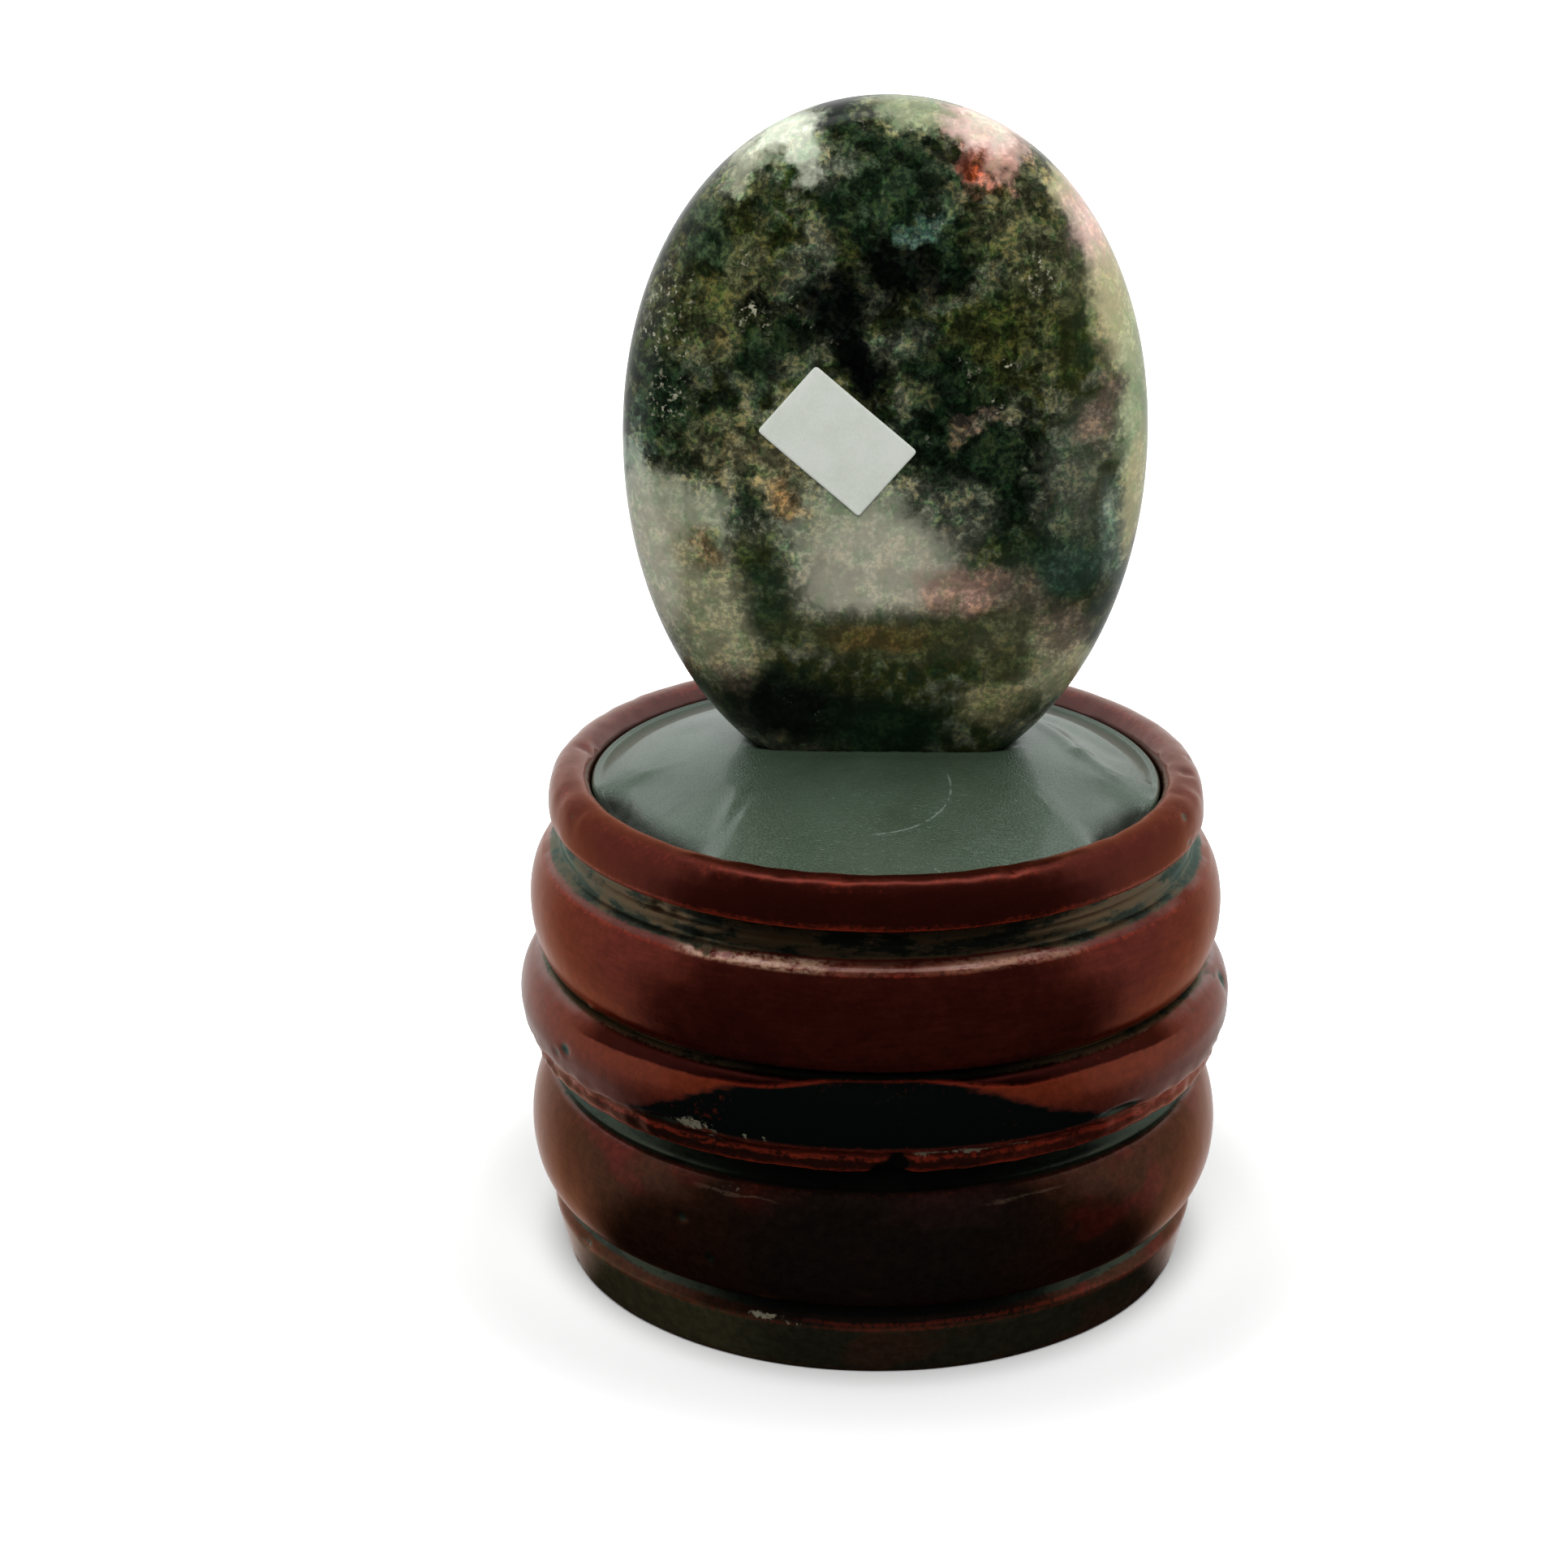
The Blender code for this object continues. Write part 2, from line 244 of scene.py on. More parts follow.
def ringGrid(rings, closeLast=True):
    # rings: list of (steps, 3) arrays; the first, and the last if asked, is closed by a middle point
    steps = len(rings[0])
    points = list(rings) + [rings[0].mean(axis=0)[None]]
    middle = len(rings) * steps
    faces = []
    for i in range(len(rings) - 1):
        for j in range(steps):
            k = (j + 1) % steps
            faces.append((i * steps + j, i * steps + k, (i + 1) * steps + k, (i + 1) * steps + j))
    faces += [(middle, (j + 1) % steps, j) for j in range(steps)]
    if closeLast:
        points.append(rings[-1].mean(axis=0)[None])
        last = middle - steps
        faces += [(middle + 1, last + j, last + (j + 1) % steps) for j in range(steps)]
    return np.concatenate(points), faces


# The turned stand; sizes in millimetres, heights from the surface it stands on
standSettings = {
    "core": 29.4,
    "footGroove": 30.0,
    "footShoulder": 31.2,
    "footShoulderTop": 5.4,
    "footTop": 7.0,
    "lowerBead": 33.2,
    "lowerBeadTop": 19.2,
    "lowerGroove": 30.6,
    "lowerGrooveTop": 21.8,
    "lip": 33.0,
    "lipTop": 24.1,
    "ringEdge": 33.6,
    "ring": 34.1,
    "ringWidest": 26.3,
    "ringTop": 30.7,
    "upperGroove": 30.9,
    "upperBead": 32.95,
    "upperBeadTop": 41.4,
    "lightShoulder": (31.85, 40.48, 1.55, 0.78),
    "step": 30.0,
    "stepTop": 42.8,
    "coveTop": 44.2,
    "rimWidest": 31.05,
    "rimCrest": 28.6,
    "rimInnerDrop": 2.2,
    "rimFullness": 2.7,
    "top": 48.8,
    "recess": 27.0,
    "recessFloor": 36.0,
    "feltRecess": 27.3,
    "feltCeiling": 1.5,
    "turnSteps": 360,
    "spacing": 0.28,
    "fineStep": 0.05,
    "soften": 0.22,
    "arris": 0.3,
    "grooveReach": 2.6,
    "edgeBend": 1.6,
    "wander": 0.22,
    "wanderScale": 0.035,
    "ripple": 0.05,
    "rippleScale": 0.22,
    "seed": 4.0,
}


def halfRound(top, topRadius, bottom, bottomRadius, widest):
    # A bead between two grooves, drawn from its top to its bottom
    points = []
    for i in range(49):
        angle = math.pi * i / 48
        share = (1 - math.cos(angle)) / 2
        groove = topRadius + (bottomRadius - topRadius) * share
        points.append((groove + (widest - groove) * math.sin(angle), top + (bottom - top) * share))
    return points


def quarterTurn(steps, first=0):
    # Sine and cosine of angles from none to a quarter turn
    angles = [math.pi / 2 * i / steps for i in range(first, steps + 1)]
    return [(math.sin(angle), math.cos(angle)) for angle in angles]


def outsideOutline():
    # From the lip of the recess over the rim and down the outside to the foot
    s = standSettings
    cut = s["arris"]
    points = [(s["recess"], s["top"] - s["rimInnerDrop"] - 2 * cut)]
    for sine, cosine in quarterTurn(24):
        inward = (s["rimCrest"] - s["recess"]) * cosine
        points.append((s["rimCrest"] - inward, s["top"] - s["rimInnerDrop"] * (1 - sine)))
    fall = s["top"] - s["coveTop"] - 2 * cut
    for sine, cosine in quarterTurn(40, 1):
        out = sine ** (2 / s["rimFullness"])
        down = 1 - cosine ** (2 / s["rimFullness"])
        points.append((s["rimCrest"] + (s["rimWidest"] - s["rimCrest"]) * out, s["top"] - fall * down))
    points += [(s["rimWidest"] - cut, s["coveTop"]), (s["core"], s["coveTop"])]
    points += [(s["core"], s["stepTop"]), (s["step"], s["stepTop"] - cut)]
    far, low, slope, high = s["lightShoulder"]
    bead = halfRound(s["upperBeadTop"], s["step"], s["ringTop"], s["upperGroove"], s["upperBead"])
    points += [(far - (z - low) * slope, z) if low < z < low + high else (r, z) for r, z in bead]
    for sine, cosine in quarterTurn(32, 1):
        height = s["ringWidest"] + (s["ringTop"] - s["ringWidest"]) * cosine
        points.append((s["upperGroove"] + (s["ring"] - s["upperGroove"]) * sine, height))
    points += [((s["ring"] + s["ringEdge"]) / 2, s["lipTop"] + 0.55), (s["ringEdge"], s["lipTop"])]
    points += [(s["lip"], s["lipTop"] - cut), (s["lip"], s["lowerGrooveTop"] + 2 * cut)]
    points += [(s["lip"] - cut, s["lowerGrooveTop"]), (s["lowerGroove"], s["lowerGrooveTop"])]
    bead = halfRound(s["lowerBeadTop"], s["lowerGroove"], s["footTop"], s["footGroove"], s["lowerBead"])
    points += bead
    points += [(s["footShoulder"] - cut, s["footShoulderTop"] + cut)]
    points += [(s["footShoulder"], s["footShoulderTop"] - cut)]
    points += [(s["footGroove"], cut), (s["footGroove"] - cut, 0.0)]
    return np.array(points)


def evenly(points, spacing):
    lengths = np.r_[0, np.cumsum(np.hypot(*np.diff(points, axis=0).T))]
    count = max(2, int(round(lengths[-1] / spacing)) + 1)
    at = np.linspace(0, lengths[-1], count)
    return np.column_stack([np.interp(at, lengths, points[:, i]) for i in (0, 1)])


def blurred(values, width):
    # Gaussian blur of rows, the ends held
    reach = int(math.ceil(3 * width))
    weights = np.exp(-0.5 * (np.arange(-reach, reach + 1) / width) ** 2)
    weights /= weights.sum()
    padded = np.pad(values, [(reach, reach), (0, 0)], mode="edge")
    windows = [padded[i:i + len(weights)] for i in range(len(values))]
    return np.stack([np.tensordot(weights, window, axes=(0, 0)) for window in windows])


def standOutline():
    # The closed outline with two masks: how deep a point is in a groove, and how sharp its edge is
    s = standSettings
    step = s["fineStep"]
    soft = blurred(evenly(outsideOutline(), step), s["soften"] / step)
    radius, height = soft.T
    shell = np.array([radius[np.abs(height - z) < s["grooveReach"]].max() for z in height])
    shallow = np.where(np.abs(height - s["ringTop"]) < 1.5, 1.5, 1.2)
    groove = np.clip(shell - radius - shallow, 0, 1) * np.clip(s["coveTop"] + 1.0 - height, 0, 1)
    along = np.gradient(soft, axis=0)
    bend = np.gradient(np.unwrap(np.arctan2(along[:, 1], along[:, 0]))) / step
    edge = np.clip(blurred(-bend[:, None], 3)[:, 0] / s["edgeBend"], 0, 1)
    rows = np.column_stack([soft, groove, edge])
    count = int(round(len(rows) * step / s["spacing"]))
    rows = rows[np.linspace(0, len(rows) - 1, count).round().astype(int)]
    wall = np.array([(s["recess"], s["recessFloor"]), (s["recess"], s["top"] - s["rimInnerDrop"] - 0.9)])
    start = [(0.0, s["recessFloor"], 0.3, 0.0)] + [(r, z, 0.0, 0.0) for r, z in evenly(wall, 2.4)]
    end = [(s["feltRecess"], 0.0, 0.3, 0.3), (s["feltRecess"], s["feltCeiling"], 0.6, 0.0),
           (0.0, s["feltCeiling"], 0.6, 0.0)]
    return np.concatenate([np.array(start), rows, np.array(end)])


def startTree(name, wanted):
    # A Geometry Nodes group with named inputs, its graph, input wires and socket identifiers
    tree = bpy.data.node_groups.new(name, "GeometryNodeTree")
    identifiers = {}
    for label, kind in wanted.items():
        socket = tree.interface.new_socket(name=label, in_out="INPUT", socket_type=kind)
        identifiers[label] = socket.identifier
    tree.interface.new_socket(name="Geometry", in_out="OUTPUT", socket_type="NodeSocketGeometry")
    graph = Graph(tree)
    given = tree.nodes.new("NodeGroupInput")
    wires = {label: Wire(graph, given.outputs[label]) for label in wanted}
    return tree, graph, wires, identifiers


def finishTree(graph, geometry, material):
    real = graph.node("GeometryNodeRealizeInstances", None, {0: geometry})
    dressed = graph.node("GeometryNodeSetMaterial", None, {"Geometry": real, "Material": material})
    graph.node("NodeGroupOutput", None, {0: dressed})


def turnedTree():
    # Turns the outline about the upright axis and lets the surface wander as hand-turned wood does
    tree, graph, given, identifiers = startTree("turnedStand", {
        "Outline": "NodeSocketGeometry",
        "Turn Steps": "NodeSocketInt",
        "Wander": "NodeSocketFloat",
        "Wander Scale": "NodeSocketFloat",
        "Ripple": "NodeSocketFloat",
        "Ripple Scale": "NodeSocketFloat",
        "Seed": "NodeSocketFloat",
        "Lacquer": "NodeSocketMaterial",
    })
    outline = given["Outline"]
    steps = given["Turn Steps"]
    settings = {"component": "MESH"}
    count = graph.node("GeometryNodeAttributeDomainSize", settings, {0: outline}, "Point Count")
    grid = graph.node("GeometryNodeMeshGrid", None, {"Vertices X": steps + 1, "Vertices Y": count})
    index = graph.node("GeometryNodeInputIndex")
    column = graph.math("FLOOR", index / count)
    row = index - column * count + 0.5

    def sampled(kind, value):
        settings = {"data_type": kind, "domain": "POINT"}
        inputs = {"Geometry": outline, "Value": value, "Index": row}
        return graph.node("GeometryNodeSampleIndex", settings, inputs)

    radius, _, height = sampled("FLOAT_VECTOR", graph.node("GeometryNodeInputPosition")).split()
    angle = column / steps * (2 * math.pi)
    cosine = graph.math("COSINE", angle)
    sine = graph.math("SINE", angle)

    def turned(far, high):
        return graph.node("ShaderNodeCombineXYZ", None, {0: far * cosine, 1: far * sine, 2: high})

    place = turned(radius, height)
    spot = graph.node("ShaderNodeVectorMath", {"operation": "SCALE"}, {0: place, "Scale": 1 / mm})

    def drift(name, detail):
        inputs = {"Vector": spot, "W": given["Seed"], "Scale": given[name + " Scale"], "Detail": detail}
        made = graph.node("ShaderNodeTexNoise", {"noise_dimensions": "4D"}, inputs)
        return (made - 0.5) * 2 * given[name]

    push = (drift("Wander", 1.0) + drift("Ripple", 2.0)) * (radius / mm & 1.0)
    moved = graph.vector("ADD", place, turned(push, 0.0))
    shaped = graph.node("GeometryNodeSetPosition", None, {"Geometry": grid, "Position": moved})
    for mask in ("groove", "edge"):
        value = graph.node("GeometryNodeInputNamedAttribute", {"data_type": "FLOAT"}, {"Name": mask})
        inputs = {"Geometry": shaped, "Name": mask, "Value": sampled("FLOAT", value)}
        settings = {"data_type": "FLOAT", "domain": "POINT"}
        shaped = graph.node("GeometryNodeStoreNamedAttribute", settings, inputs)
    closed = graph.node("GeometryNodeMergeByDistance", None, {"Geometry": shaped, "Distance": 0.01 * mm})
    outwards = graph.node("GeometryNodeFlipFaces", None, {"Mesh": closed})
    smoothed = graph.node("GeometryNodeSetShadeSmooth", None, {"Geometry": outwards})
    finishTree(graph, smoothed, given["Lacquer"])
    return tree, identifiers


def plainMesh(holder, name):
    # The evaluated object as a mesh of its own, without its modifiers
    layer = bpy.context.evaluated_depsgraph_get()
    mesh = bpy.data.meshes.new_from_object(holder.evaluated_get(layer), preserve_all_data_layers=True,
                                           depsgraph=layer)
    mesh.name = name
    return mesh


# Chips, pits and nubs, with a few marks of painted highlight and sheen: degrees round from the front
# (right is plus), height, half length along the moulding, half height, depth (minus stands out), how
# pale and how dark
standMarks = {
    "leftNub": (-55.6, 31.4, 0.6, 0.35, -0.25, 0.0, 0.6),
    "leftPit": (-58.9, 26.9, 0.9, 0.55, 0.30, 0.0, 0.7),
    "leftPitLow": (-61.5, 26.0, 0.6, 0.45, 0.20, 0.0, 0.5),
    "rightNick": (72.7, 31.6, 0.9, 0.6, 0.35, 0.0, 0.6),
    "rightNickLow": (80.7, 28.6, 1.3, 0.9, 0.45, 0.0, 0.7),
    "slotLeft": (-36.0, 24.4, 2.4, 0.45, 0.60, 0.0, 1.0),
    # Painted sheen on a small dent, in this mark and the next
    "paleSheenLeft": (-30.5, 24.9, 2.5, 0.75, 0.22, 1.0, 0.0),
    "paleLeftInner": (-27.5, 23.9, 1.2, 0.50, 0.20, 0.8, 0.0),
    "dotLeft": (-21.3, 24.9, 0.28, 0.25, 0.15, 1.0, 0.0),
    "dotRight": (-18.1, 24.9, 0.28, 0.25, 0.15, 1.0, 0.0),
    "notch": (2.6, 22.6, 1.0, 1.3, 0.95, 0.0, 1.0),
    "notchLow": (0.4, 21.9, 1.2, 0.7, 0.60, 0.0, 1.0),
    "paleNotch": (6.5, 23.9, 1.3, 0.42, 0.15, 1.0, 0.0),
    "paleLip": (13.0, 23.8, 3.0, 0.30, 0.10, 1.0, 0.0),
    "paleLipRight": (20.0, 23.7, 2.6, 0.26, 0.08, 0.9, 0.0),
    "slotRight": (40.0, 24.7, 2.6, 0.40, 0.55, 0.0, 1.0),
    # Painted sheen on a shallow dent
    "greyRight": (50.5, 23.3, 1.6, 0.7, 0.10, 0.35, 0.0),
    "footScuff": (-20.0, 5.5, 1.9, 0.30, 0.12, 1.0, 0.0),
    "footScuffRight": (-15.0, 5.2, 0.9, 0.25, 0.10, 0.7, 0.0),
    "footTick": (14.5, 5.5, 0.7, 0.22, 0.08, 0.5, 0.0),
    "covePit": (-38.1, 42.7, 0.6, 0.4, 0.30, 0.0, 1.0),
    "covePitLeft": (-43.1, 43.0, 0.7, 0.4, 0.30, 0.0, 1.0),
    "covePitLow": (-31.8, 41.2, 0.6, 0.5, 0.35, 0.0, 1.0),
    "beadFleck": (-26.0, 40.9, 0.5, 0.3, 0.12, 0.5, 0.0),
    "lowPit": (-28.0, 11.4, 0.5, 0.5, 0.35, 0.0, 1.0),
    "lowPitLeft": (-33.0, 14.8, 0.45, 0.4, 0.30, 0.0, 1.0),
    # Painted highlight lines along the lower bead's top, in this mark and the next
    "lowHighlightLeft": (-23.5, 18.4, 2.8, 0.14, 0.04, 0.6, 0.0),
    "lowHighlightRight": (20.8, 18.2, 2.2, 0.14, 0.04, 0.45, 0.0),
    "beadDark": (-30.0, 41.0, 0.45, 0.45, 0.35, 0.0, 1.0),
}
# Dents in the rim's top: degrees round, distance from the axis, half size, depth
rimDents = {
    "backLeft": (-99.0, 27.7, 1.2, 0.25),
    "backLeftInner": (-104.0, 27.5, 0.9, 0.20),
    "right": (74.0, 29.2, 1.1, 0.20),
    "rightOuter": (80.0, 30.0, 1.0, 0.28),
    "rightBack": (85.0, 29.3, 0.8, 0.25),
    "left": (-76.0, 30.2, 1.2, 0.20),
    "leftFront": (-66.0, 30.4, 0.9, 0.25),
    "frontRight": (22.6, 29.3, 0.8, 0.20),
    "frontLeft": (-17.6, 29.1, 0.7, 0.20),
    "frontMiddle": (-6.0, 29.0, 0.5, 0.15),
}
randomWear = {
    "seed": 7,
    "count": 130,
    "outside": 28.0,
    "heights": (48.2, 44.8, 30.0, 24.6, 23.7, 22.1, 5.5, 0.5),
    "length": (0.3, 1.3),
    "depth": (0.05, 0.28),
    "roughLip": 0.26,
    "roughRim": 0.10,
    "waveRim": 0.06,
    "lipBand": (23.2, 1.5),
    "rimBand": (48.4, 1.0),
    "cleanBead": (39.0, 41.6),
    "pale": (0.0, 0.0, 0.45, 0.7),
    "turn": (60, 300),
    "high": (0.2, 0.45),
    "rimAbove": 45.0,
    "cleanTurn": 30.0,
}


def wearStand(mesh):
    s = randomWear
    points = np.array([tuple(v.co) for v in mesh.vertices]) / mm
    reach = np.hypot(points[:, 0], points[:, 1])
    around = np.degrees(np.arctan2(points[:, 0], -points[:, 1]))
    height = points[:, 2].copy()
    groove = np.zeros(len(points), np.float32)
    mesh.attributes["groove"].data.foreach_get("value", groove)
    chip = np.zeros(len(points), np.float32)
    outside = reach > s["outside"]
    clean = np.clip((s["cleanTurn"] - np.abs(around - 1.5)) / 9, 0, 1)
    low, top = s["cleanBead"]
    groove *= 1 - clean * np.clip((top - height) / 0.3, 0, 1) * np.clip((height - low) / 0.5, 0, 1)
    rough = fieldOf(points, 0.55, 21, 3)
    lip = bell(height, *s["lipBand"]) * outside
    rim = bell(height, *s["rimBand"])
    push = rough * (lip * s["roughLip"] + rim * s["roughRim"])
    points[:, 2] += fieldOf(points, 0.35, 23, 2) * (lip * s["roughLip"] + rim * s["waveRim"])
    marks = list(standMarks.values())
    chance = np.random.default_rng(s["seed"])
    for _ in range(s["count"]):
        level = s["heights"][chance.integers(len(s["heights"]))]
        long = chance.uniform(*s["length"])
        pale = chance.choice(s["pale"])
        turn = chance.uniform(*s["turn"])
        marks.append((turn if turn < 180 else turn - 360, level + chance.normal(0, 0.25), long,
                      chance.uniform(*s["high"]), chance.uniform(*s["depth"]), pale, 0.5 - pale / 2))
    for turn, level, long, high, depth, pale, dark in marks:
        across = np.radians((around - turn + 180) % 360 - 180) * reach / long
        up = (height - level) / high
        near = outside & (np.abs(across) < 2.5) & (np.abs(up) < 2.5)
        weight = bell(across[near], 0, 1) * bell(up[near], 0, 1) * (1 + 0.6 * rough[near])
        push[near] -= depth * weight
        chip[near] = np.maximum(chip[near], pale * np.clip(weight * 1.3, 0, 1))
        groove[near] = np.maximum(groove[near], dark * np.clip(weight * 1.2, 0, 1))
    for turn, far, size, depth in rimDents.values():
        apart = np.radians((around - turn + 180) % 360 - 180) * reach / size
        near = (height > s["rimAbove"]) & (np.abs(apart) < 2.5)
        weight = bell(apart[near], 0, 1) * bell(reach[near], far, size) * (1 + 0.8 * rough[near])
        points[near, 2] -= depth * weight
    far = np.maximum(reach, 1)
    points[:, :2] *= np.minimum(1 + push / far, (standSettings["ring"] - 0.02) / far)[:, None]
    points[:, 2] = np.clip(points[:, 2], 0, standSettings["top"])
    mesh.vertices.foreach_set("co", (points * mm).astype(np.float32).ravel())
    mesh.attributes["groove"].data.foreach_set("value", groove)
    addMask(mesh, "chip", chip)
    mesh.update()


def makeStand(lacquer):
    s = standSettings
    rows = standOutline()
    outline = bpy.data.meshes.new("standOutline")
    edges = [(i, i + 1) for i in range(len(rows) - 1)]
    outline.from_pydata([(r * mm, 0.0, z * mm) for r, z in rows[:, :2]], edges, [])
    addMask(outline, "groove", rows[:, 2])
    addMask(outline, "edge", rows[:, 3])
    holder = addPiece("standHolder", outline)
    tree, identifiers = turnedTree()
    turn = holder.modifiers.new("turned", "NODES")
    turn.node_group = tree
    for label, value in (("Turn Steps", s["turnSteps"]), ("Wander", s["wander"] * mm),
                         ("Wander Scale", s["wanderScale"]), ("Ripple", s["ripple"] * mm),
                         ("Ripple Scale", s["rippleScale"]), ("Seed", s["seed"]), ("Lacquer", lacquer)):
        turn[identifiers[label]] = value
    mesh = plainMesh(holder, "turnedStand")
    bpy.data.objects.remove(holder)
    wearStand(mesh)
    stand = addPiece("turnedStand", mesh)
    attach(stand, "stand")
    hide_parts("stand_body")
    print("stand turned:", len(rows), "outline points,", len(mesh.polygons), "faces")


lacquerSettings = {
    "body": (0.120, 0.0205, 0.0118),
    "bodyDeep": (0.088, 0.0135, 0.0095),
    "low": (0.044, 0.0165, 0.0085),
    "lowRed": (0.075, 0.0110, 0.0075),
    "foot": (0.027, 0.025, 0.0145),
    "shade": (0.023, 0.0044, 0.0036),
    "band": (0.126, 0.0195, 0.0070),
    "bandLowShade": (0.066, 0.0105, 0.0055),
    "lensPaintedBlack": (0.0012, 0.0024, 0.0022),
    "rim": (0.070, 0.0120, 0.0080),
    "paintedHighlight": (0.36, 0.235, 0.155),
    "lipDeep": (0.030, 0.0100, 0.0065),
    "lowFrontShade": (0.017, 0.0150, 0.0130),
    "footSideSheen": (0.062, 0.058, 0.029),
    "lensRight": (29.6, 16.0, -0.20),
    "lensLeft": (28.75, -26.0, 0.225),
    "edge": (0.260, 0.024, 0.009),
    "stain": (0.034, 0.040, 0.026),
    "darkStainAndShade": (0.0050, 0.0065, 0.0050),
    "oliveStainAndSheen": (0.100, 0.064, 0.033),
    "chip": (0.150, 0.140, 0.098),
    "glow": (1.0, 0.56, 0.42),
    "grimeGlow": (0.80, 1.0, 0.92),
    "metallic": 0.81,
    "cloudNoise": (0.16, 4.0, 0.6),
    "streakNoise": (0.25, 3.0, 0.6),
    "speckNoise": (2.2, 3.0, 0.65),
    "backSeam": (-150.0, -110.0),
    "lowBand": (24.0, 17.0),
    "footBand": (5.6, 4.8),
    "rimBand": (43.8, 44.6),
    "lipBand": (24.9, 24.3, 21.9, 22.5),
    "ringBand": (24.2, 24.8, 31.1, 30.9),
    "shoulderBand": (40.30, 40.62, 41.40, 41.22),
    "lowLine": 17.9,
    "lipLine": 23.35,
    "footLine": 5.5,
    "stepLine": 30.9,
    "crease": 29.5,
    "creaseRise": 1.05,
    "creaseEnd": -0.3,
}


def makeLacquer():
    c = lacquerSettings
    material, graph, place = newMaterial("lacquerRedBrown")
    x, y, height = place.split()
    cloudy = place.noise(*c["cloudNoise"])
    streaky = graph.millimetres(stretch=(1, 1, 5)).noise(*c["streakNoise"])
    speckle = place.noise(*c["speckNoise"])
    clouds, streaks, specks = cloudy - 0.5, streaky - 0.5, speckle - 0.5
    glimpse = graph.millimetres(stretch=(1, 1, 1.6)).noise(0.11, 3.0, 0.5).ramp(0.54, 0.66)
    turn = graph.math("ARCTAN2", x, 0 - y) * (180 / math.pi)
    apart = abs(turn)
    notBack = turn.ramp(*c["backSeam"])
    isLow = (height + clouds * 6).ramp(*c["lowBand"])
    isFoot = (height + specks * 0.8).ramp(*c["footBand"])
    isLip = height.between(*c["lipBand"])
    # Painted sheen: the foot's left side lighter and greener
    footTone = graph.mix(turn.ramp(-14.0, -32.0) * notBack, c["foot"], c["footSideSheen"])
    mottle = place.noise(1.1, 5.0, 0.68).ramp(0.34, 0.66, 0.78, 1.22)
    mottle = mottle + (1 - mottle) * height.ramp(30.0, 36.0) * 0.55
    streaked = graph.millimetres(stretch=(1, 1, 7)).noise(0.5, 3.0, 0.6)
    mottle = mottle * streaked.ramp(0.36, 0.64, 0.92, 1.08)
    colour = graph.paint(
        graph.mix((cloudy * 0.6 + streaky * 0.4).ramp(0.38, 0.62), c["bodyDeep"], c["body"]),
        (isLow, graph.mix(glimpse, c["low"], c["lowRed"])),
        # Painted shade: the lower mouldings darker at the front
        (isLow * (apart + clouds * 20).ramp(32.0, 14.0) * 0.8, c["lowFrontShade"]),
        (isFoot, graph.mix(glimpse * 0.3, footTone, c["lowRed"])))
    colour = graph.shaded(colour, mottle)

    # The ring's crease: painted shade above it for its hollow, where it is also more mirror-like; below
    # it at the front a painted black reflection (the lens), and beside that a band of the lacquer's
    # colour, painted darker towards its lower edge
    crease = apart.ramp(24.0, 4.0, 0.0, c["creaseRise"]) + apart.ramp(38.0, 62.0, 0.0, c["creaseEnd"])
    over = height - (crease + c["crease"] + clouds * 0.5)
    onRing = height.between(*c["ringBand"])
    shaded = onRing * over.ramp(-0.12, 0.10) * apart.ramp(62.0, 50.0)
    ends = [level + (turn - start) * slope for level, start, slope in (c["lensRight"], c["lensLeft"])]
    uneven = clouds * 2.2 + streaks * 1.2
    inLens = ((ends[0] & ends[1]) - height + uneven).ramp(-0.45, 0.45)
    band = onRing * (1 - shaded) * (1 - inLens)
    lens = onRing * (1 - shaded) * inLens
    bandTone = graph.mix((over + clouds * 2.4 + specks * 0.8).ramp(-0.9, -3.4), c["band"], c["bandLowShade"])

    # Painted highlights: light catching the upper bead's shoulder, and a line round the lower bead
    onShoulder = height.between(*c["shoulderBand"])
    onShoulder = onShoulder * (1 - abs(turn - 1.0).ramp(12.0, 8.0) * 0.6)
    onShoulder = onShoulder * turn.ramp(-4.0, -14.0, 0.5, 1.0)
    onShoulder = onShoulder * apart.ramp(38.0, 31.0) * (streaky * 0.6 + speckle * 0.4).ramp(0.40, 0.56)
    lowLine = abs(height - c["lowLine"] + streaks * 1.2).ramp(0.17, 0.04)
    lowLine = lowLine * abs(apart - 24.0).ramp(9.0, 3.0) * speckle.ramp(0.28, 0.50)

    # Edges rubbed through to the wood, painted highlight lines along the ring's crease and the foot's
    # edge at the front, and the darker lip
    wornAndHighlit = (graph.attribute("edge") * 0.9 + cloudy * 0.7 + speckle * 0.9).ramp(1.05, 1.7)
    wornAndHighlit = wornAndHighlit * (1 - isLow * 0.6)
    # A painted highlight along the ring's crease at the front
    line = onRing * abs(over).ramp(0.26, 0.06) * apart.ramp(34.0, 20.0)
    line = line * (speckle * 0.6 + cloudy * 0.4).ramp(0.30, 0.50)
    ragged = abs(height - c["lipLine"] + clouds * 1.4 + specks * 0.5)
    lipLine = ragged.ramp(0.40, 0.12) * (streaky * 0.5 + speckle * 0.5).ramp(0.42, 0.55)
